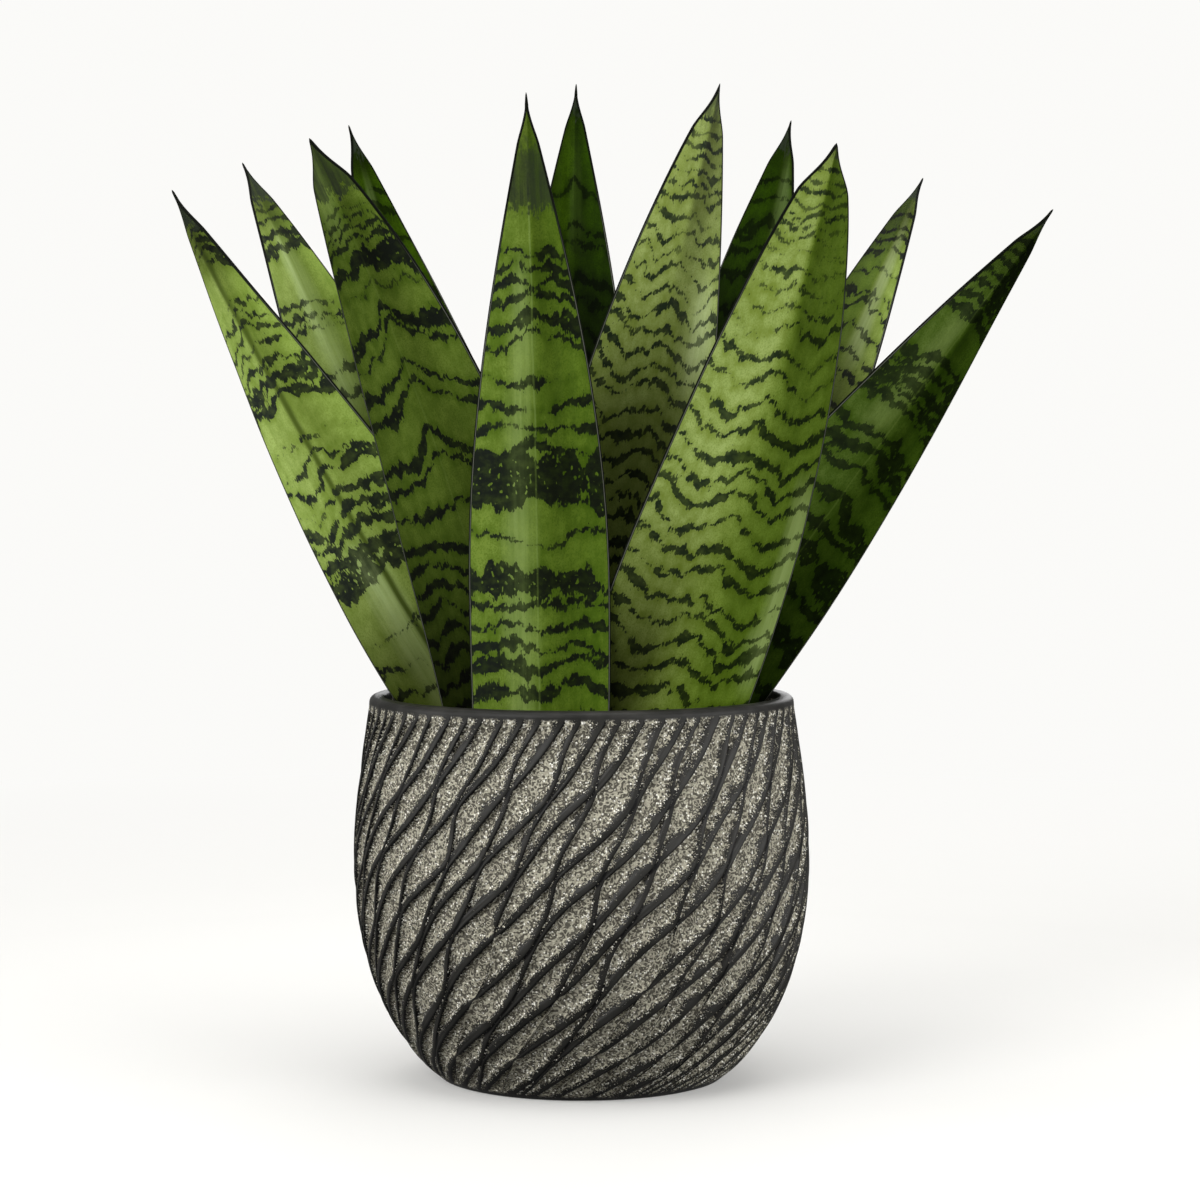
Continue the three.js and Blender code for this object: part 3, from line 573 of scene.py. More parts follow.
def smoothstep(value, low, high):
    share = np.clip((np.asarray(value, float) - low) / (high - low), 0, 1)
    return share * share * (3 - 2 * share)


def lerp(a, b, share):
    return a + (b - a) * share


# A repeatable number from 0 to 1 for a whole number
def chance(index, salt):
    wave = math.sin(index * 127.1 + salt * 311.7) * 43758.5453
    return wave - math.floor(wave)


# A smooth random surface from -1 to 1: a few crossing waves whose directions and phases are drawn by a seed
def ripple(x, y, length, seed, waves=9):
    draw = np.random.default_rng(seed)
    total = np.zeros(np.broadcast(x, y).shape)
    for _ in range(waves):
        angle = draw.uniform(0, 2 * math.pi)
        size = length * draw.uniform(*RIPPLE_SPREAD)
        phase = draw.uniform(0, 2 * math.pi)
        total += np.sin(2 * math.pi * (x * math.cos(angle) + y * math.sin(angle)) / size + phase)
    return total / math.sqrt(waves)


# The steps of a quarter turn, in radians
def quarter_turns(steps):
    return [math.radians(90 * step / steps) for step in range(1, steps + 1)]


# Four-sided faces between each ring of points and the next, facing out where the rings go up
def ring_faces(rings, sides):
    here = np.arange(sides)
    after = (here + 1) % sides
    band = np.stack([here, after, after + sides, here + sides], 1)
    return np.vstack([band + ring * sides for ring in range(rings - 1)])


# The same faces seen from the other side, each from the same corner on
def turned_over(faces):
    return faces[:, [0, 3, 2, 1]]


# One mesh object from points in mm and faces, with named UV maps given for each face corner
def make_piece(name, points, faces, uv_maps):
    mesh = bpy.data.meshes.new(name)
    mesh.from_pydata((np.asarray(points) * MM).tolist(), [], faces)
    for uv_name, corners in uv_maps.items():
        layer = mesh.uv_layers.new(name=uv_name)
        layer.data.foreach_set("uv", np.asarray(corners, np.float32).ravel())
    mesh.shade_smooth()
    mesh.update()
    piece = bpy.data.objects.new(name, mesh)
    bpy.context.scene.collection.objects.link(piece)
    return piece


def dress(piece, node, material):
    piece.data.materials.append(material)
    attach(piece, "root")
    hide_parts(node)


# Shader graph helper: most calls add one node and give back its output. Its steps are a table of the levels
# between which a value goes from nought to full
class Graph:
    def __init__(self, name, steps=None):
        self.material = bpy.data.materials.new(name)
        self.material.use_nodes = True
        self.tree = self.material.node_tree
        self.tree.nodes.clear()
        self.steps = steps

    def add(self, kind, inputs=(), **settings):
        node = self.tree.nodes.new(kind)
        for key, value in settings.items():
            setattr(node, key, value)
        for key, value in dict(inputs).items():
            self.feed(node.inputs[key], value)
        return node

    def feed(self, socket, value):
        if isinstance(value, bpy.types.NodeSocket):
            self.tree.links.new(value, socket)
        elif isinstance(value, tuple) and len(value) == 3 and socket.type == "RGBA":
            socket.default_value = (*value, 1)
        else:
            socket.default_value = value

    def math(self, operation, a, b=0.0, clamp=False):
        return self.add("ShaderNodeMath", {0: a, 1: b}, operation=operation, use_clamp=clamp).outputs[0]

    def plus(self, a, b):
        return self.math("ADD", a, b)

    def minus(self, a, b):
        return self.math("SUBTRACT", a, b)

    def times(self, a, b):
        return self.math("MULTIPLY", a, b)

    # A product that stays between nought and one
    def share(self, a, b=1.0):
        return self.math("MULTIPLY", a, b, clamp=True)

    # A noise's level as a swing about nought
    def swing(self, value):
        return self.minus(value, 0.5)

    def uv(self, name):
        node = self.add("ShaderNodeUVMap", uv_map=name)
        parts = self.add("ShaderNodeSeparateXYZ", {0: node.outputs[0]})
        return parts.outputs[0], parts.outputs[1]

    # A map's value back in millimetres
    def in_mm(self, value):
        return self.times(value, 1 / MAP_SCALE)

    def noise(self, x, y, seed, x_size, y_size, detail, roughness):
        inputs = {0: self.math("DIVIDE", x, x_size), 1: self.math("DIVIDE", y, y_size), 2: seed}
        place = self.add("ShaderNodeCombineXYZ", inputs).outputs[0]
        inputs = {"Vector": place, "Scale": 1.0, "Detail": detail, "Roughness": roughness}
        return self.add("ShaderNodeTexNoise", inputs, noise_dimensions="3D").outputs["Fac"]

    def step(self, value, low, high):
        inputs = {"Value": value, "From Min": low, "From Max": high}
        return self.add("ShaderNodeMapRange", inputs, interpolation_type="SMOOTHSTEP").outputs["Result"]

    # A step between the levels that the table gives for a name
    def at(self, name, value):
        return self.step(value, *self.steps[name])

    def mix(self, kind, share, a, b):
        node = self.add("ShaderNodeMix", data_type="RGBA", blend_type=kind)
        sockets = {socket.identifier: socket for socket in node.inputs}
        self.feed(sockets["Factor_Float"], share)
        self.feed(sockets["A_Color"], a)
        self.feed(sockets["B_Color"], b)
        return node.outputs[2]

    def blend(self, share, a, b):
        return self.mix("MIX", share, a, b)

    # Colour times a painted shade. A leaf half that turns from the light also loses its red and most of its
    # blue
    def shaded(self, color, shade, tint):
        red = self.times(shade, self.math("POWER", tint, TINT_RED))
        blue = self.times(self.math("POWER", shade, SHADE_BLUE), self.math("POWER", tint, TINT_BLUE))
        factor = self.add("ShaderNodeCombineColor", {0: red, 1: shade, 2: blue})
        return self.mix("MULTIPLY", 1.0, color, factor.outputs[0])

    def bump(self, height, distance, strength):
        inputs = {"Height": height, "Distance": distance, "Strength": strength}
        return self.add("ShaderNodeBump", inputs).outputs[0]

    def finish(self, color, roughness, normal, **constants):
        shader = self.add("ShaderNodeBsdfPrincipled")
        self.feed(shader.inputs["Base Color"], color)
        self.feed(shader.inputs["Roughness"], roughness)
        self.feed(shader.inputs["Normal"], normal)
        for key, value in constants.items():
            shader.inputs[key.replace("_", " ")].default_value = value
        out = self.add("ShaderNodeOutputMaterial")
        self.tree.links.new(shader.outputs[0], out.inputs[0])
        return self.material


# The planter's outline: a centripetal spline through its points, sampled as (heights, radii)
def sample_outline():
    points = np.array([(radius, height) for height, radius in POT_OUTLINE], float)
    first = 2 * points[0] - points[1]
    last = 2 * points[-1] - points[-2]
    points = np.vstack([first, points, last])
    samples = []
    for i in range(1, len(points) - 2):
        p0, p1, p2, p3 = points[i - 1:i + 3]
        d0, d1, d2 = (math.sqrt(np.linalg.norm(b - a)) for a, b in ((p0, p1), (p1, p2), (p2, p3)))
        t1 = ((p1 - p0) / d0 - (p2 - p0) / (d0 + d1) + (p2 - p1) / d1) * d1
        t2 = ((p2 - p1) / d1 - (p3 - p1) / (d1 + d2) + (p3 - p2) / d2) * d1
        for t in np.linspace(0, 1, OUTLINE_STEPS, endpoint=False):
            c2 = -3 * p1 + 3 * p2 - 2 * t1 - t2
            c3 = 2 * p1 - 2 * p2 + t1 + t2
            samples.append(p1 + t1 * t + c2 * t * t + c3 * t ** 3)
    samples.append(points[-2])
    samples = np.array(samples)
    return samples[:, 1], samples[:, 0]


OUTLINE_HEIGHTS, OUTLINE_RADII = sample_outline()


def outline_radius(height):
    return np.interp(height, OUTLINE_HEIGHTS, OUTLINE_RADII)


# How far round the ridges have leaned from the foot up to each height, in radians
def ridge_turn(heights):
    fine = np.linspace(0, POT_HEIGHT, TURN_SAMPLES)
    radius = outline_radius(fine)
    climb = np.hypot(np.diff(fine), np.diff(radius))
    middle = (fine[1:] + fine[:-1]) / 2
    lean = lerp(RIDGE_LEAN_FOOT, RIDGE_LEAN_TOP, np.minimum(middle / RIDGE_BAND[1], 1))
    turn = np.concatenate([[0], np.cumsum(climb * np.tan(np.radians(lean)) / outline_radius(middle))])
    return np.interp(heights, fine, turn)


# How far each family has run from the common lean at a height, in spacings: nought at the rim
def crossing_run(heights):
    below = np.maximum(RIDGE_BAND[1] - heights, 0)
    soft = np.minimum(below, CROSSING_SOFTNESS)
    return CROSSING_RATE * (soft * soft / (2 * CROSSING_SOFTNESS) + below - soft)


# The height of a crossing, counted from the rim, of two lines that do not meander
def crossing_height(number):
    run = (number - 0.5) / 2
    return RIDGE_BAND[1] - CROSSING_SOFTNESS / 2 - run / CROSSING_RATE


# One line's own sideways wander, in spacings
def meander(line, seed, heights):
    slow = heights / (MEANDER_LENGTH * lerp(*MEANDER_STRETCH, chance(line, seed))) + chance(line, seed + 1)
    quick = heights / QUICK_LENGTH + chance(line, seed + 2)
    wave = MEANDER_SIZE * np.sin(2 * math.pi * slow) + QUICK_SIZE * np.sin(2 * math.pi * quick)
    calm = lerp(1, MEANDER_AT_RIM, smoothstep(heights, RIDGE_BAND[1] - CROSSING_SOFTNESS, RIDGE_BAND[1]))
    return wave * calm + SCATTER * lerp(-1, 1, chance(line, seed + 3))


# Where the lines of both families stand at each height, from left to right, in spacings; and their widths
def ridge_lines(heights):
    run = crossing_run(heights)
    spare = math.ceil(run.max()) + SPARE_LINES
    places = []
    widths = []
    for line in range(-spare, FAMILY_LINES + spare):
        own = line % FAMILY_LINES
        places.append(line - run + meander(own, LEANER_SEED, heights))
        widths.append(np.full(len(heights), FAMILY_WIDTHS[0]))
        last = ENDING_CROSSINGS[0] + round(chance(own, ENDING_SEED + 1) * np.ptp(ENDING_CROSSINGS))
        end = crossing_height(last)
        kept = smoothstep(heights, end - ENDING_SOFTNESS, end + ENDING_SOFTNESS)
        if chance(own, ENDING_SEED) > ENDING_SHARE:
            kept = 1.0
        places.append(line + 0.5 + run + meander(own, STEEPER_SEED, heights))
        widths.append(FAMILY_WIDTHS[1] * kept + np.zeros(len(heights)))
    places = np.array(places)
    order = np.argsort(places, axis=0)[2 * spare:2 * spare + 2 * FAMILY_LINES]
    places = np.take_along_axis(places, order, 0)
    widths = np.take_along_axis(np.array(widths), order, 0)
    gap = np.roll(places, -1, 0) - places
    gap[-1] += FAMILY_LINES
    both = np.minimum(widths, np.roll(widths, -1, 0)) / FAMILY_WIDTHS[1]
    push = (np.sqrt(gap ** 2 + (MEETING_GAP * np.minimum(both, 1)) ** 2) - gap) / 2
    return places - push + np.roll(push, 1, 0), widths


# The planter's ridged wall as rows of points. Each column also has its distances to the lines on its
# left and right in mm, longer beside a narrow line, for the start and for the end of its own cell
def pot_wall_rows():
    heights = np.linspace(RIDGE_BAND[0], RIDGE_BAND[1], POT_ROWS)
    radius = outline_radius(heights)
    turn = ridge_turn(heights)
    fade = smoothstep(heights, RIDGE_BAND[0], RIDGE_BAND[0] + RIDGE_FADE)
    fade = fade * (1 - smoothstep(heights, RIDGE_BAND[1] - RIDGE_FADE, RIDGE_BAND[1]))
    places, widths = ridge_lines(heights)
    spacing = 2 * math.pi / FAMILY_LINES
    upright = np.cos(np.arctan(np.gradient(places * spacing + turn, heights, axis=1) * radius))
    scale = spacing * radius * upright / np.maximum(widths, LEAST_LINE)
    columns = []
    marks = []
    for k in range(len(places)):
        after = (k + 1) % len(places)
        here = places[k]
        span = places[after] + (FAMILY_LINES if after == 0 else 0) - here
        for across in CELL_PLACES:
            from_left = across * span * scale[k]
            from_right = (1 - across) * span * scale[after]
            steep = smoothstep(from_left, *STEEP_SIDE)
            ramp = smoothstep(from_right, *RAMP_SIDE)
            crown = CROWN_DEPTH * np.minimum(from_left / STEEP_SIDE[0], 1) ** 2
            angle = (here + across * span) * spacing + turn
            past_steep = smoothstep(from_left, STEEP_SIDE[1], STEEP_SIDE[1] + CREASE_WIDTH)
            crease = CREASE_DEPTH * steep * (1 - past_steep)
            depth = (RIDGE_DEPTH * steep * ramp + crown + crease * ramp) * fade
            grit = sum(share * ripple(angle * SAND_RADIUS, heights, length, seed)
                       for share, length, seed in SAND_RIPPLES)
            depth = depth + SAND_ROUGHNESS * grit * steep * ramp * fade
            reach = radius - depth
            columns.append(np.stack([reach * np.cos(angle), reach * np.sin(angle), heights], 1))
            marks.append(np.stack([from_left, from_right], 1))
    marks = np.clip(np.stack(marks, 1), 0, FARTHEST)
    return np.stack(columns, 1), marks, np.clip(span_ends(places, scale), 0, FARTHEST)


# The distance from the left line at the very end of each cell, for every row
def span_ends(places, scale):
    span = np.roll(places, -1, 0) - places
    span[-1] += FAMILY_LINES
    return (span * scale).T


# (radius, height) of the foot's rows under the ridged band, and of the lip, inner wall and floor over it
def pot_profiles():
    foot = outline_radius(0)
    hollow, ring_start, ring_end = (foot - inset for inset in FOOT_INSETS)
    under = [(0.0, FOOT_HOLLOW), (hollow, FOOT_HOLLOW), (ring_start, 0.0), (ring_end, 0.0),
             (outline_radius(FOOT_BEVEL), FOOT_BEVEL)]
    rim = outline_radius(POT_HEIGHT - LIP_ROUND)
    mouth = rim - POT_WALL
    over = [(rim, POT_HEIGHT - LIP_ROUND)]
    for turn in quarter_turns(LIP_STEPS):
        over.append((rim - LIP_ROUND * (1 - math.cos(turn)), POT_HEIGHT - LIP_ROUND * (1 - math.sin(turn))))
    for turn in quarter_turns(LIP_INNER_STEPS):
        radius = mouth + LIP_INNER_ROUND * (1 - math.sin(turn))
        over.append((radius, POT_HEIGHT - LIP_INNER_ROUND * (1 - math.cos(turn))))
    over.append((mouth, POT_HEIGHT - LIP_ROUND))
    for height in CAVITY_HEIGHTS:
        over.append((outline_radius(height) - POT_WALL, height))
    over.append((0.0, POT_FLOOR))
    return under, over


def build_pot():
    wall, marks, ends = pot_wall_rows()
    sides = wall.shape[1]
    under, over = pot_profiles()

    def ring(radius, height, angle):
        return np.stack([radius * np.cos(angle), radius * np.sin(angle), np.full(sides, height)], 1)

    first_angle = np.arctan2(wall[0, :, 1], wall[0, :, 0])
    last_angle = np.arctan2(wall[-1, :, 1], wall[-1, :, 0])
    rows = [ring(r, h, first_angle) for r, h in under[1:]] + list(wall)
    rows += [ring(r, h, last_angle) for r, h in over[:-1]]
    below, above = len(under) - 1, len(over) - 1
    marks = np.concatenate([np.repeat(marks[:1], below, 0), marks, np.repeat(marks[-1:], above, 0)])
    ends = np.concatenate([np.repeat(ends[:1], below, 0), ends, np.repeat(ends[-1:], above, 0)])
    after = (np.arange(sides) + 1) % sides
    # The last column of a cell meets the next cell's line, whose marks start again from nought
    next_marks = marks[:, after].copy()
    last_of_cell = after % len(CELL_PLACES) == 0
    next_marks[:, last_of_cell, 0] = ends
    next_marks[:, last_of_cell, 1] = 0
    faces = ring_faces(len(rows), sides).tolist()
    corners = []
    for row in range(len(rows) - 1):
        corners.append(np.stack([marks[row], next_marks[row], next_marks[row + 1], marks[row + 1]], 1))
    points = np.vstack(rows + [[[0, 0, under[0][1]], [0, 0, POT_FLOOR]]])
    bottom, top = len(points) - 2, len(points) - 1
    last = (len(rows) - 1) * sides
    for i in range(sides):
        faces.append([bottom, after[i], i])
        faces.append([top, last + i, last + after[i]])
    # The two fans of triangles that close foot and floor have no marks
    fans = np.zeros((2 * 3 * sides, 2))
    cell = np.vstack([np.vstack(corners).reshape(-1, 2), fans]) * MAP_SCALE
    return make_piece("planter", points, faces, {"cell": cell})


# Planter finish: dark worn ridges with a painted shadow in the crease along each steep side, and cells of
# pale sand in worm-like curls with glinting grains
def pot_material():
    g = Graph("planter finish", POT_STEPS)
    from_left, from_right = (g.in_mm(part) for part in g.uv("cell"))
    place = g.add("ShaderNodeTexCoord").outputs["Object"]
    per_metre = 1 / MM
    inputs = {0: place, 1: (per_metre, per_metre, per_metre)}
    spread = g.add("ShaderNodeVectorMath", inputs, operation="MULTIPLY").outputs[0]
    height = g.add("ShaderNodeSeparateXYZ", {0: spread}).outputs[2]
    noise = {}
    for name, (scale, detail) in POT_NOISES.items():
        inputs = {"Vector": spread, "Scale": scale, "Detail": detail}
        noise[name] = g.add("ShaderNodeTexNoise", inputs).outputs["Fac"]

    ragged = g.swing(noise["ragged"])
    band = g.times(g.at("over the foot", height), g.at("under the lip", height))
    bare = g.times(g.at("bare patches", noise["patches"]), PATCH_WIDTH)
    bare = g.minus(bare, g.at("near the foot", height))
    pushed = g.plus(g.times(ragged, RAGGED_RIGHT), g.times(g.swing(noise["lumps"]), LUMPY_RIGHT))
    sand_right = g.at("sand on the right", g.plus(g.minus(from_right, bare), pushed))
    sand_left = g.at("sand on the left", g.plus(from_left, g.times(ragged, RAGGED_LEFT)))
    sand = g.times(g.times(sand_left, sand_right), band)
    # Painted shadow: the crease beside each ridge's steep side is darkened to near black
    crease = g.times(g.times(g.at("crease", from_left), g.at("crease end", from_left)), band)

    cells = g.add("ShaderNodeTexVoronoi", {"Vector": spread, "Scale": GRAIN_SCALE}, feature="F1")
    tone = g.add("ShaderNodeSeparateColor", {0: cells.outputs["Color"]}).outputs[0]
    curls = g.plus(g.times(noise["curls"], CURL_WAVE), g.times(noise["kinks"], KINK_WAVE))
    worms = g.at("worms", g.math("SINE", curls))
    edge = g.plus(g.at("right edge", from_right), g.at("left edge", from_left))
    glint = g.at("glint", g.plus(tone, g.times(edge, EDGE_GLINTS)))
    glint = g.times(glint, g.at("glint middle", cells.outputs["Distance"]))
    grains = g.blend(g.at("grain tone", tone), SAND_DARK, SAND_COLOR)
    grains = g.blend(g.times(g.minus(1.0, worms), GAP_SHARE), grains, SAND_GAP)
    grains = g.blend(glint, grains, SAND_GLINT)
    color = g.blend(g.at("worn", noise["patches"]), RIDGE_COLOR, RIDGE_WORN)
    color = g.blend(crease, color, CREASE_SHADOW)
    color = g.blend(sand, color, grains)

    roughness = g.plus(POT_ROUGH, g.times(sand, SAND_ROUGH))
    fine = g.times(g.plus(worms, g.minus(1.0, cells.outputs["Distance"])), sand)
    normal = g.bump(g.plus(fine, g.times(noise["pits"], PIT_SHARE)), *POT_BUMP)
    return g.finish(color, roughness, normal, Specular_IOR_Level=POT_SHINE)


# The blade's middle line over the soil, as a bent curve: its parameter, places, slopes and arc lengths
def blade_curve(leaf):
    foot = np.array([*leaf["foot"], SOIL_TOP], float)
    tip = np.array(leaf["tip"], float)
    control = (foot + tip) / 2 + 2 * np.array([*leaf["bow"], 0])
    t = np.linspace(0, 1, CURVE_SAMPLES)[:, None]
    curve = (1 - t) ** 2 * foot + 2 * t * (1 - t) * control + t ** 2 * tip
    slope = 2 * (1 - t) * (control - foot) + 2 * t * (tip - control)
    lengths = np.concatenate([[0], np.cumsum(np.linalg.norm(np.diff(curve, axis=0), axis=1))])
    return t[:, 0], curve, slope, lengths


# The middle line at the given arc lengths from the root's end: places and directions
def middle_line(leaf, arcs):
    t, curve, slope, lengths = blade_curve(leaf)
    share = np.interp(np.maximum(arcs - LEAF_ROOT, 0), lengths, t)
    middle = np.stack([np.interp(share, t, curve[:, i]) for i in range(3)], 1)
    along = np.stack([np.interp(share, t, slope[:, i]) for i in range(3)], 1)
    along /= np.linalg.norm(along, axis=1)[:, None]
    below = np.minimum(arcs - LEAF_ROOT, 0)[:, None]
    return middle + along * below, along


def blade_length(leaf):
    return LEAF_ROOT + blade_curve(leaf)[3][-1]


def half_width(leaf, from_tip, length):
    widest = min(leaf["taper"], length)
    rising = np.sin(math.pi / 2 * np.clip(from_tip / widest, 0, 1)) ** leaf["blunt"]
    falling = 1 - ROOT_NARROWING * ((from_tip - widest) / widest) ** 2
    narrowing = np.where(from_tip < widest, rising, falling)
    point = lerp(POINT_SLIMNESS, 1, smoothstep(from_tip, 0, 2 * POINT_LENGTH))
    least = lerp(POINT_END, POINT_WIDTH, np.minimum(from_tip / POINT_SHARP, 1)) / 2
    return np.maximum(leaf["width"] / 2 * narrowing * point, least)


# Repeatable numbers from 0 to 1 for the five places of one fine line
def line_draws(line, seed):
    return np.array([chance(line, seed + place) for place in range(len(LINE_SHAPE))])


# The leaf's dark marks as curves: distances from the tip and thicknesses at five places across
def mark_curves(leaf, number):
    if leaf["name"] in MARKS:
        return [(np.array(places, float), np.array(thick, float)) for places, thick in MARKS[leaf["name"]]]
    fine = FINE_LINES[leaf["name"]]
    curves = []
    place = fine["from"]
    count = 0
    while place < fine["to"]:
        share = smoothstep(place, *LINE_THICKENS)
        dips = np.array(LINE_SHAPE) * fine["dip"] * smoothstep(place, *LINE_DIPS)
        wobble = lerp(-LINE_WOBBLE, LINE_WOBBLE, line_draws(count, number)) * (1 + share)
        strength = lerp(*LINE_STRENGTH, line_draws(count, number + STRENGTH_SEED))
        curves.append((place + dips + wobble, lerp(*fine["thickness"], share) * strength))
        apart = lerp(*fine["spacing"], smoothstep(place, *LINE_SPREADS))
        place += apart * lerp(*LINE_SPREAD, chance(count, number + SPACING_SEED))
        count += 1
    return curves


# A smooth curve through values at even places from the left margin (-1) to the right one (1)
def across_curve(side, values):
    place = (np.clip(side, -1, 1) + 1) / 2 * (len(values) - 1)
    before = np.minimum(place.astype(int), len(values) - 2)
    share = place - before
    share = lerp(share, share * share * (3 - 2 * share), CURVE_EASE)
    return lerp(values[before], values[before + 1], share)


# Distance (mm) from the edge of the nearest dark mark, below nought inside it, and that mark's thickness
def mark_distance(leaf, number, side, across, from_tip):
    seed = MARK_SEED + 10 * number
    wander = 0
    for step, (size, squeeze, length) in enumerate(MARK_RIPPLES):
        wander = wander + size * ripple(across, from_tip * squeeze, length, seed + step)
    shifted = across + HUMP_SHIFT * ripple(across, from_tip, HUMP_LENGTH, seed + 3)
    humps = np.abs(np.sin(math.pi * shifted / HUMP_SPACING))
    wander = (wander - HUMP_HEIGHT * (humps - HUMP_LEVEL)) * smoothstep(from_tip, *WANDER_START)
    nearest = np.full(side.shape, NO_MARK)
    weight = np.zeros(side.shape)
    for k, (places, thick) in enumerate(mark_curves(leaf, number)):
        centre = across_curve(side, places) + wander
        width = across_curve(side, thick)
        width = width * THICK_GAIN + THICK_EXTRA * smoothstep(width, *HAIRLINE)
        level = np.full(side.shape, UNEVEN_STEP * k)
        uneven = 1 + UNEVEN * ripple(across, level, UNEVEN_LENGTH, seed + 2)
        distance = np.abs(from_tip - centre) - width * uneven / 2
        weight = np.where(distance < nearest, width, weight)
        nearest = np.minimum(nearest, distance)
    return nearest, weight


# Painted light and shade: how bright each spot of the front is, as if lit or shaded, and how much of the
# brighter half's tint it has
def leaf_shade(leaf, sides, from_tip):
    left, right = leaf["halves"]
    left_edge, right_edge = leaf["margins"]
    soft = lerp(*HALVES_MEET, smoothstep(from_tip, *HALVES_SOFTEN))
    turned = smoothstep(sides / soft, -1, 1)
    tint = lerp(left / max(left, right), right / max(left, right), turned)
    left = left * (HALVES_LEVELS[0] + left_edge * smoothstep(-sides, *LEFT_BRIGHTENS))
    right = right * (HALVES_LEVELS[1] + right_edge * smoothstep(sides, *RIGHT_BRIGHTENS))
    start, end, left_foot, right_foot = leaf["foot_shade"]
    at_foot = lerp(left_foot, right_foot, turned)
    shade = lerp(left, right, turned) * lerp(1, at_foot, smoothstep(from_tip, start, end))
    start, end, left_tip, right_tip = leaf["tip_shade"]
    at_tip = lerp(left_tip, right_tip, turned)
    return shade * lerp(at_tip, 1, smoothstep(from_tip, start, end)), tint


# Values on the front's columns, carried on round the back to close each ring
def round_ring(values):
    return np.concatenate([values, values[:, 1:-1][:, ::-1]], 1)


# The leaf's UV maps. Each value is given on all rings, and then at the tip point and at the root point:
# blade: from the midrib and from the tip; edge: from the margin, and the place across, here from 0 to 1;
# mark: from the nearest mark, and the painted shade; line: that mark's thickness, and the painted shade's
# tint
def leaf_maps(leaf, number, front_sides, half, from_tip, faces):
    sides = round_ring(front_sides)
    across = sides * half[:, None]
    inset = half[:, None] * (1 - np.abs(sides))
    down = np.broadcast_to(from_tip[:, None], sides.shape)
    marked, weight = mark_distance(leaf, number, sides, across, down)
    shade, tint = leaf_shade(leaf, sides, down)
    back = front_sides.shape[1]
    shade[:, back:] = BACK_SHADE
    tint[:, back:] = 1
    maps = {
        "blade": ((across, 0, 0, MAP_SCALE), (down, 0, from_tip[0], MAP_SCALE)),
        "edge": ((inset, 0, leaf["width"] / 2, MAP_SCALE), (sides / 2 + 0.5, 0.5, 0.5, 1)),
        "mark": ((marked, 0, 0, MAP_SCALE), (shade, 1, 1, SHADE_SCALE)),
        "line": ((weight, 0, 0, MAP_SCALE), (tint, 1, 1, 1)),
    }
    flat = [corner for face_corners in faces for corner in face_corners]
    uv_maps = {}
    for name, pair in maps.items():
        parts = [np.append(values, ends)[flat] * scale for values, *ends, scale in pair]
        uv_maps[name] = np.stack(parts, 1)
    return uv_maps


def build_leaf(leaf, number):
    length = blade_length(leaf)
    body = np.arange(LEAF_ROOT - FINE_ROOT, length - TIP_ZONE, BLADE_STEP)
    tip_arcs = np.arange(length - TIP_ZONE, length - TIP_LAST, TIP_STEP)
    arcs = np.concatenate([[0, LEAF_ROOT / 2], body, tip_arcs, [length - TIP_CAP]])
    from_tip = length - arcs
    share = arcs / length
    middle, along = middle_line(leaf, arcs)
    facing = np.radians(lerp(*leaf["facing"], share))
    level = np.stack([np.cos(facing), np.sin(facing), 0 * facing], 1)
    across = level - along * (level * along).sum(1)[:, None]
    across /= np.linalg.norm(across, axis=1)[:, None]
    front = np.cross(across, along)
    fold = np.tan(np.radians(lerp(*leaf["fold"], share)))
    thick = lerp(LEAF_TIP_THICK, LEAF_THICK, smoothstep(from_tip, 0, leaf["taper"]))
    round_off = np.sqrt(1 - (1 - np.minimum(from_tip / TIP_ROUND, 1)) ** 2)
    half = half_width(leaf, from_tip, length) * round_off

    deepest = MARGIN_INSETS[-1]
    shrink = np.minimum(1, half / (2 * deepest))
    left = [-1 + inset * shrink / half for inset in MARGIN_INSETS]
    inner = left[-1]
    middle_columns = [lerp(inner, -inner, c / (BLADE_COLUMNS + 1)) for c in range(1, BLADE_COLUMNS + 1)]
    sides = np.stack(left + middle_columns + [-side for side in reversed(left)], 1)

    inset = half[:, None] * (1 - np.abs(sides))
    margin = np.sqrt(1 - (1 - np.clip(inset / deepest, 0, 1)) ** 2)
    body_half = lerp(MARGIN_THICK, thick[:, None], 1 - sides ** 2) / 2 * margin * round_off[:, None]
    lift = half[:, None] * fold[:, None] * (np.hypot(sides, FOLD_ROUND) - FOLD_ROUND)
    across_mm = sides * half[:, None]
    tip_mm = np.broadcast_to(from_tip[:, None], across_mm.shape)
    channel = np.cos(2 * math.pi * across_mm / CHANNEL_SPACING + number)
    channel = channel * CHANNEL_DEPTH * smoothstep(inset, *CHANNEL_INSETS)
    wave = WAVE_SIZE * ripple(across_mm * WAVE_SQUEEZE, tip_mm, WAVE_LENGTH, WAVE_SEED + number)
    wave = wave * smoothstep(tip_mm, 0, WAVE_TIP_FADE)
    wave = wave * smoothstep(length - tip_mm, LEAF_ROOT, LEAF_ROOT + WAVE_SOIL_FADE)

    def face(sign):
        out = lift + sign * body_half + sign * channel * (sign > 0) + wave
        return (middle[:, None, :] + across[:, None, :] * across_mm[:, :, None]
                + front[:, None, :] * out[:, :, None])

    front_face = face(1)
    back_face = face(-1)[:, 1:-1][:, ::-1]
    ring = np.concatenate([front_face, back_face], 1)
    rows, per_ring = ring.shape[:2]
    points = np.vstack([ring.reshape(-1, 3), middle[-1] + along[-1] * TIP_CAP, middle[0]])

    faces = ring_faces(rows, per_ring).tolist()
    last = (rows - 1) * per_ring
    for i in range(per_ring):
        j = (i + 1) % per_ring
        faces.append([last + i, last + j, len(points) - 2])
        faces.append([j, i, len(points) - 1])
    uv_maps = leaf_maps(leaf, number, sides, half, from_tip, faces)
    return make_piece(leaf["name"] + "_blade", points, faces, uv_maps)


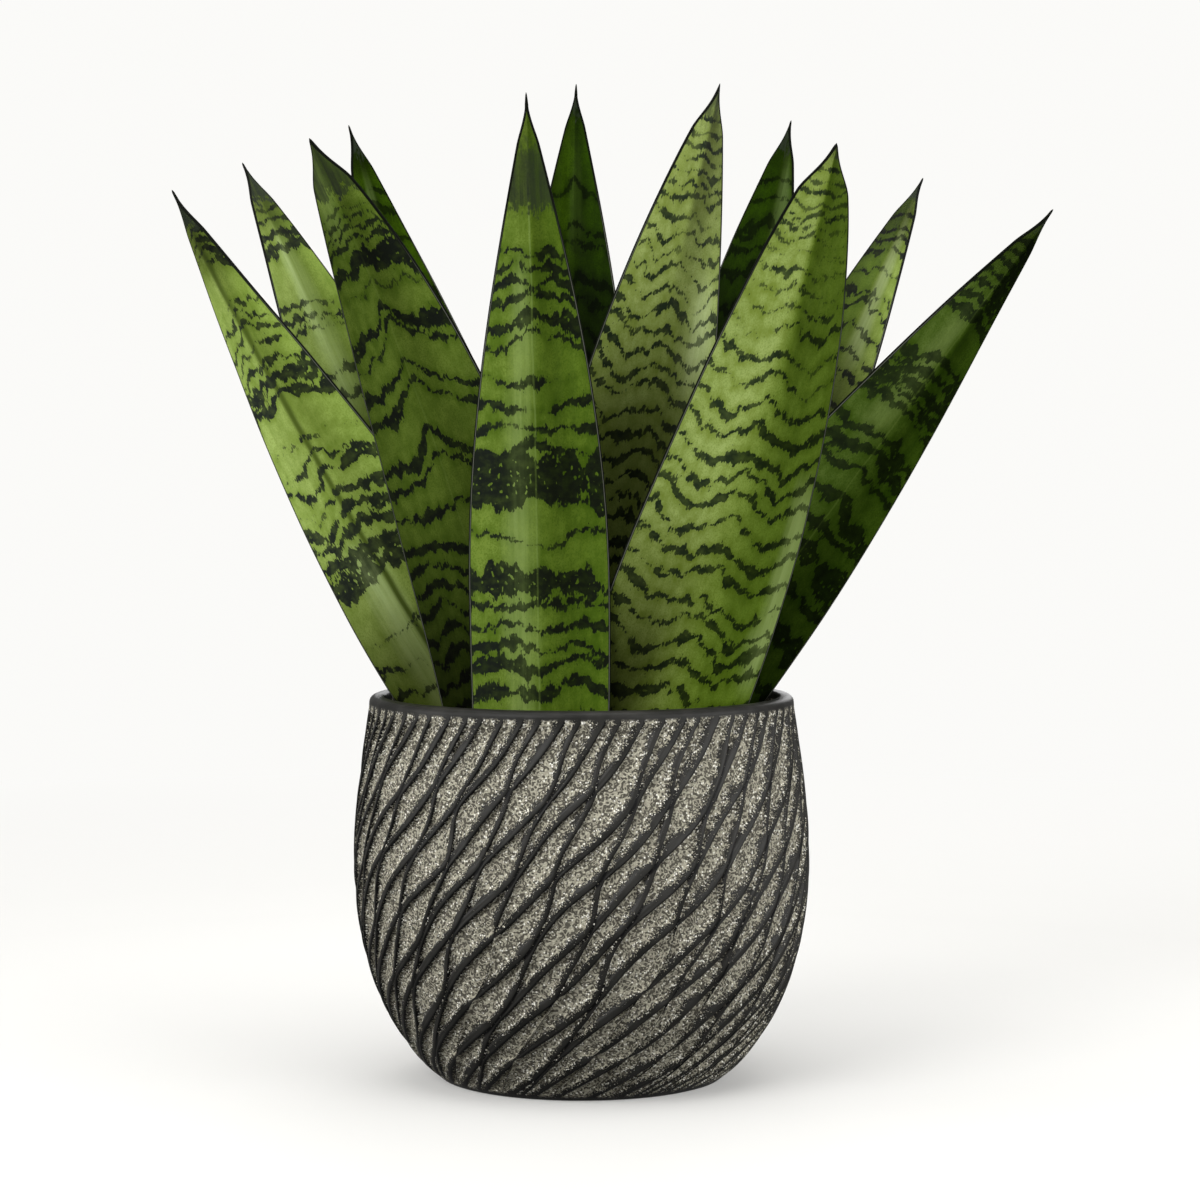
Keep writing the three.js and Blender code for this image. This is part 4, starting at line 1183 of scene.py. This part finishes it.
# How fully dark marks cover each spot: jagged broken edges, holes in broad bands and crumbs beside them
def mark_cover(g, noise, mark, weight, ink):
    breaks = g.swing(noise["breaks"])
    broad = g.at("broad mark", weight)
    jagged = g.times(g.swing(noise["teeth"]), g.plus(TEETH[0], g.times(broad, TEETH[1])))
    broken = g.times(breaks, g.plus(BREAKS[0], g.times(broad, BREAKS[1])))
    fine = g.times(g.swing(noise["fine"]), FINE_TEETH)
    dark = g.at("mark edge", g.plus(g.plus(mark, jagged), g.plus(fine, broken)))
    hollow = g.times(g.at("mark middle", mark), g.at("holes", noise["holes"]))
    dark = g.math("SUBTRACT", dark, hollow, clamp=True)
    crumbs = g.times(g.at("near a mark", mark), g.at("crumbs", noise["crumbs"]))
    dark = g.math("MAXIMUM", dark, crumbs, clamp=True)
    cover = g.plus(LINE_INK, g.times(g.at("thick line", weight), 1 - LINE_INK))
    return g.share(dark, g.times(g.times(cover, ink), g.plus(1.0, g.times(breaks, INK_BREAKS))))


# The blade's mottled green, paler well clear of the marks
def leaf_green(g, noise, mark, look):
    green = g.minus(g.times(g.at("clear of marks", mark), CLEAR_SHARE), CLEAR_LEVEL)
    for name, share in GREEN_SHARES.items():
        green = g.plus(green, g.times(g.at(name, noise[name]), share))
    color = g.blend(g.share(green), look["deep"], look["pale"])
    return g.blend(g.times(g.at("specks", noise["specks"]), SPECK_SHARE), color, look["deep"])


# How strongly the pale streak, a painted sheen, shows at each spot, before its own strength
def painted_sheen_streak(g, noise, side, along, streak):
    across, width, start, end, _ = streak
    drift = g.times(g.swing(noise["clouds"]), STREAK_DRIFT)
    painted_sheen = g.math("ABSOLUTE", g.minus(side, g.plus(across, drift)))
    painted_sheen = g.step(painted_sheen, width, width * STREAK_CORE)
    ends = g.times(g.step(along, start, start + STREAK_FADE), g.step(along, end, end - STREAK_FADE))
    return g.times(g.times(painted_sheen, ends), g.plus(STREAK_LEAST, g.times(noise["streaks"], STREAK_GRAIN)))


# How fully the dark tip covers each spot
def tip_cover(g, noise, along, dark_tip):
    start, end, soft, strength = dark_tip
    teeth = g.times(g.swing(noise["teeth"]), TIP_TEETH)
    place = g.plus(along, g.plus(teeth, g.times(g.swing(noise["breaks"]), TIP_BREAKS)))
    cover = g.times(g.step(place, end + soft, end - soft), g.step(place, start - TIP_SOFT, start + TIP_SOFT))
    patches = g.plus(g.swing(noise["streaks"]), g.times(g.swing(noise["mottle"]), TIP_MOTTLE))
    return g.share(g.times(cover, g.plus(strength, g.times(patches, TIP_PATCHES))))


# Leaf finish: dark bands and wavy lines over mottled green, with painted light and shade on the halves, tip
# and foot, a pale streak that is a painted sheen, a rib with a painted highlight or a groove of painted
# shade, a dark tip, and margins with a painted highlight line
def leaf_material(leaf, number):
    look = LOOKS[leaf["look"]]
    g = Graph(leaf["name"] + " finish", LEAF_STEPS)
    across, along = (g.in_mm(part) for part in g.uv("blade"))
    edge, side = g.uv("edge")
    mark, shade = g.uv("mark")
    weight, tint = g.uv("line")
    inset = g.in_mm(edge)
    mark = g.in_mm(mark)
    side = g.minus(g.times(side, 2.0), 1.0)
    noise = {}
    for name, (seed, *kind) in LEAF_NOISES.items():
        noise[name] = g.noise(across, along, number * LEAF_SEED + seed, *kind)

    color = leaf_green(g, noise, mark, look)
    # Painted sheen: the pale streak, in the look's light colour
    painted_sheen = painted_sheen_streak(g, noise, side, along, leaf["streak"])
    strength = leaf["streak"][-1]
    color = g.blend(g.share(painted_sheen, strength), color, look["light"])
    # The rib: a pale line along it is a painted highlight in the look's light colour; below 0 a dark groove
    # is painted shade in the fold
    rib = g.math("ABSOLUTE", g.plus(across, g.times(g.minus(noise["clouds"], RIB_LEVEL), RIB_DRIFT)))
    if leaf["rib"] < 0:
        groove = g.times(g.at("groove", rib), g.at("groove start", along))
        groove_shadow_color = tuple(GROOVE_SHADOW_SHARE * part for part in look["deep"])
        color = g.blend(g.times(groove, -leaf["rib"]), color, groove_shadow_color)
    rib = g.times(g.times(g.at("rib", rib), g.at("rib start", along)), max(leaf["rib"], 0.0))
    color = g.blend(rib, color, look["light"])
    dark = mark_cover(g, noise, mark, g.in_mm(weight), look["ink"])
    # Under the painted highlight on the rib and the painted sheen, the marks are veiled too
    veil = g.minus(1.0, g.plus(rib, g.times(painted_sheen, STREAK_VEIL * strength)))
    color = g.blend(g.share(dark, veil), color, look["band"])
    # Painted light and shade: halves lit and shaded, darker towards the foot, changed towards the tip and
    # margins
    color = g.shaded(color, g.times(shade, 1 / SHADE_SCALE), tint)
    color = g.blend(tip_cover(g, noise, along, leaf["dark_tip"]), color, TIP_COLOR)
    dark_margin = g.at("dark margin", inset)
    color = g.blend(dark_margin, color, MARGIN_DARK)
    # Painted highlight: a pale line just inside the margin, setting in a little way below the tip
    margin_highlight = g.times(g.at("pale line", inset), g.at("pale line end", inset))
    margin_highlight = g.times(margin_highlight, g.times(g.at("pale line start", along), MARGIN_HIGHLIGHT_SHARE))
    color = g.blend(margin_highlight, color, MARGIN_HIGHLIGHT)

    height = g.times(g.plus(noise["fibres"], noise["pores"]), 0.5)
    normal = g.bump(height, *LEAF_BUMP)
    roughness = g.plus(LEAF_ROUGH, g.times(noise["mottle"], MOTTLE_ROUGH))
    roughness = g.plus(roughness, g.times(dark_margin, MARGIN_ROUGH))
    return g.finish(color, roughness, normal, Specular_IOR_Level=look["shine"])


# The soil's crust: a lumpy heap whose edge drops straight down
def build_soil():
    radius = outline_radius(SOIL_TOP) - POT_WALL - GAP
    reach = radius * np.linspace(1 / SOIL_RINGS, 1, SOIL_RINGS)
    angle = np.linspace(0, 2 * math.pi, SOIL_SPOKES, endpoint=False)
    r, a = np.meshgrid(reach, angle, indexing="ij")
    x, y = r * np.cos(a), r * np.sin(a)
    lump = sum(size * ripple(x, y, length, seed) for size, length, seed in SOIL_LUMPS)
    lump = np.clip(lump, -LUMP_LIMIT, LUMP_LIMIT) - LUMP_SINK
    z = SOIL_TOP + SOIL_HEAP * (1 - (r / radius) ** 2) + lump
    top = np.vstack([[[0, 0, SOIL_TOP + SOIL_HEAP]], np.stack([x, y, z], 2).reshape(-1, 3)])
    edge = top[-SOIL_SPOKES:].copy()
    edge[:, 2] = SOIL_TOP - SOIL_CRUST
    points = np.vstack([top, edge, [[0, 0, SOIL_TOP - SOIL_CRUST]]])
    faces = [[0, 1 + i, 1 + (i + 1) % SOIL_SPOKES] for i in range(SOIL_SPOKES)]
    faces += (turned_over(ring_faces(SOIL_RINGS, SOIL_SPOKES)) + 1).tolist()
    rim = len(top) - SOIL_SPOKES
    for i in range(SOIL_SPOKES):
        j = (i + 1) % SOIL_SPOKES
        faces.append([rim + i, len(top) + i, len(top) + j, rim + j])
        faces.append([len(top) + j, len(top) + i, len(points) - 1])
    flat = [corner for face_corners in faces for corner in face_corners]
    return make_piece("soil_bed", points, faces, {"bed": points[flat][:, :2] * MAP_SCALE})


# Soil finish: dark crumbs with a few pale grains
def soil_material():
    g = Graph("soil finish", SOIL_STEPS)
    place = g.add("ShaderNodeTexCoord").outputs["Object"]
    inputs = {"Vector": place, "Scale": SOIL_NOISE_SCALE, "Detail": SOIL_NOISE_DETAIL}
    coarse = g.add("ShaderNodeTexNoise", inputs).outputs["Fac"]
    cells = g.add("ShaderNodeTexVoronoi", {"Vector": place, "Scale": SOIL_GRAIN_SCALE})
    tone = g.add("ShaderNodeSeparateColor", {0: cells.outputs["Color"]}).outputs[0]
    color = g.blend(coarse, SOIL_DARK, SOIL_COLOR)
    color = g.blend(g.at("pale grains", tone), color, SOIL_GRAIN)
    height = g.plus(coarse, g.times(cells.outputs["Distance"], SOIL_GRAIN_HEIGHT))
    roughness = g.plus(SOIL_ROUGH, g.times(coarse, SOIL_NOISE_ROUGH))
    return g.finish(color, roughness, g.bump(height, *SOIL_BUMP), Specular_IOR_Level=SOIL_SHINE)


# Backdrop finish: it glows by itself, and its own white, which the lamps light, fades away from the middle
def stage_material():
    g = Graph("backdrop finish")
    shader = g.add("ShaderNodeBsdfPrincipled", {"Roughness": STAGE_ROUGH})
    brightness, white = g.uv("glow")
    parts = {0: white, 1: g.times(white, STAGE_GREEN), 2: g.times(white, STAGE_BLUE)}
    g.feed(shader.inputs["Base Color"], g.add("ShaderNodeCombineColor", parts).outputs[0])
    shader.inputs["Emission Color"].default_value = STAGE_GLOW_COLOR
    g.feed(shader.inputs["Emission Strength"], brightness)
    shader.inputs["Specular IOR Level"].default_value = 0.0
    out = g.add("ShaderNodeOutputMaterial")
    g.tree.links.new(shader.outputs[0], out.inputs[0])
    return g.material


# Studio: a pale round bowl of a floor and wall, the same from every side. It is seen only by the camera,
# so that it sends no light of its own into the leaves
def build_stage():
    profile = [(STAGE_FLAT * step / STAGE_FLOOR_STEPS, 0.0) for step in range(1, STAGE_FLOOR_STEPS + 1)]
    for turn in quarter_turns(STAGE_BEND_STEPS):
        radius = STAGE_FLAT + (STAGE_WALL - STAGE_FLAT) * math.sin(turn)
        profile.append((radius, STAGE_BEND * (1 - math.cos(turn))))
    profile.append((STAGE_WALL, STAGE_TOP))
    points = []
    for radius, height in profile:
        for side in range(STAGE_SIDES):
            angle = 2 * math.pi * side / STAGE_SIDES
            points.append((radius * math.cos(angle), radius * math.sin(angle), height))
    faces = [list(range(STAGE_SIDES))]
    faces += turned_over(ring_faces(len(profile), STAGE_SIDES)).tolist()
    mesh = bpy.data.meshes.new("backdrop")
    mesh.from_pydata(points, [], faces)
    mesh.shade_smooth()
    corner = np.zeros(len(mesh.loops), np.int32)
    mesh.loops.foreach_get("vertex_index", corner)
    reach = [math.hypot(x, y) for x, y, _ in points]
    glow = np.interp(reach, STAGE_GLOW_RADII, STAGE_GLOW)
    white = np.interp(reach, STAGE_GLOW_RADII, STAGE_WHITE)
    glow = np.stack([glow[corner], white[corner]], 1)
    mesh.uv_layers.new(name="glow").uv.foreach_set("vector", glow.ravel())
    stage = bpy.data.objects.new("backdrop", mesh)
    bpy.context.scene.collection.objects.link(stage)
    stage.visible_diffuse = False
    stage.visible_glossy = False
    mesh.materials.append(stage_material())


def add_light(name, place, aim, size, power):
    data = bpy.data.lights.new(name, "AREA")
    data.shape = "DISK"
    data.size = size
    data.energy = power
    light = bpy.data.objects.new(name, data)
    light.location = place
    direction = Vector(aim) - Vector(place)
    light.rotation_euler = direction.to_track_quat("-Z", "Y").to_euler()
    bpy.context.scene.collection.objects.link(light)


def build_camera():
    data = bpy.data.cameras.new("camera")
    data.lens = CAMERA_LENS
    data.sensor_width = CAMERA_SENSOR
    data.clip_end = CAMERA_REACH
    camera = bpy.data.objects.new("camera", data)
    camera.location = [value * MM for value in CAMERA_PLACE]
    camera.rotation_euler = (math.radians(90 - CAMERA_DIP), 0, 0)
    bpy.context.scene.collection.objects.link(camera)
    bpy.context.scene.camera = camera


def build_light():
    scene = bpy.context.scene
    scene.view_settings.view_transform = "Standard"
    world = bpy.data.worlds.new("studio")
    world.use_nodes = True
    tree = world.node_tree
    place = tree.nodes.new("ShaderNodeTexCoord")
    parts = tree.nodes.new("ShaderNodeSeparateXYZ")
    ramp = tree.nodes.new("ShaderNodeMapRange")
    tree.links.new(place.outputs["Generated"], parts.inputs[0])
    tree.links.new(parts.outputs[2], ramp.inputs["Value"])
    ramp.inputs["From Min"].default_value = SKY_SLOPES[0]
    ramp.inputs["From Max"].default_value = SKY_SLOPES[1]
    ramp.inputs["To Min"].default_value = SKY_LOW
    ramp.inputs["To Max"].default_value = SKY_HIGH
    background = tree.nodes["Background"]
    background.inputs[0].default_value = SKY_COLOR
    tree.links.new(ramp.outputs["Result"], background.inputs[1])
    scene.world = world
    for lamp in LAMPS:
        add_light(*lamp)


build_camera()
build_stage()
build_light()
dress(build_pot(), "pot", pot_material())
dress(build_soil(), "soil", soil_material())
for number, leaf in enumerate(LEAVES, start=1):
    piece = build_leaf(leaf, number)
    dress(piece, leaf["name"], leaf_material(leaf, number))
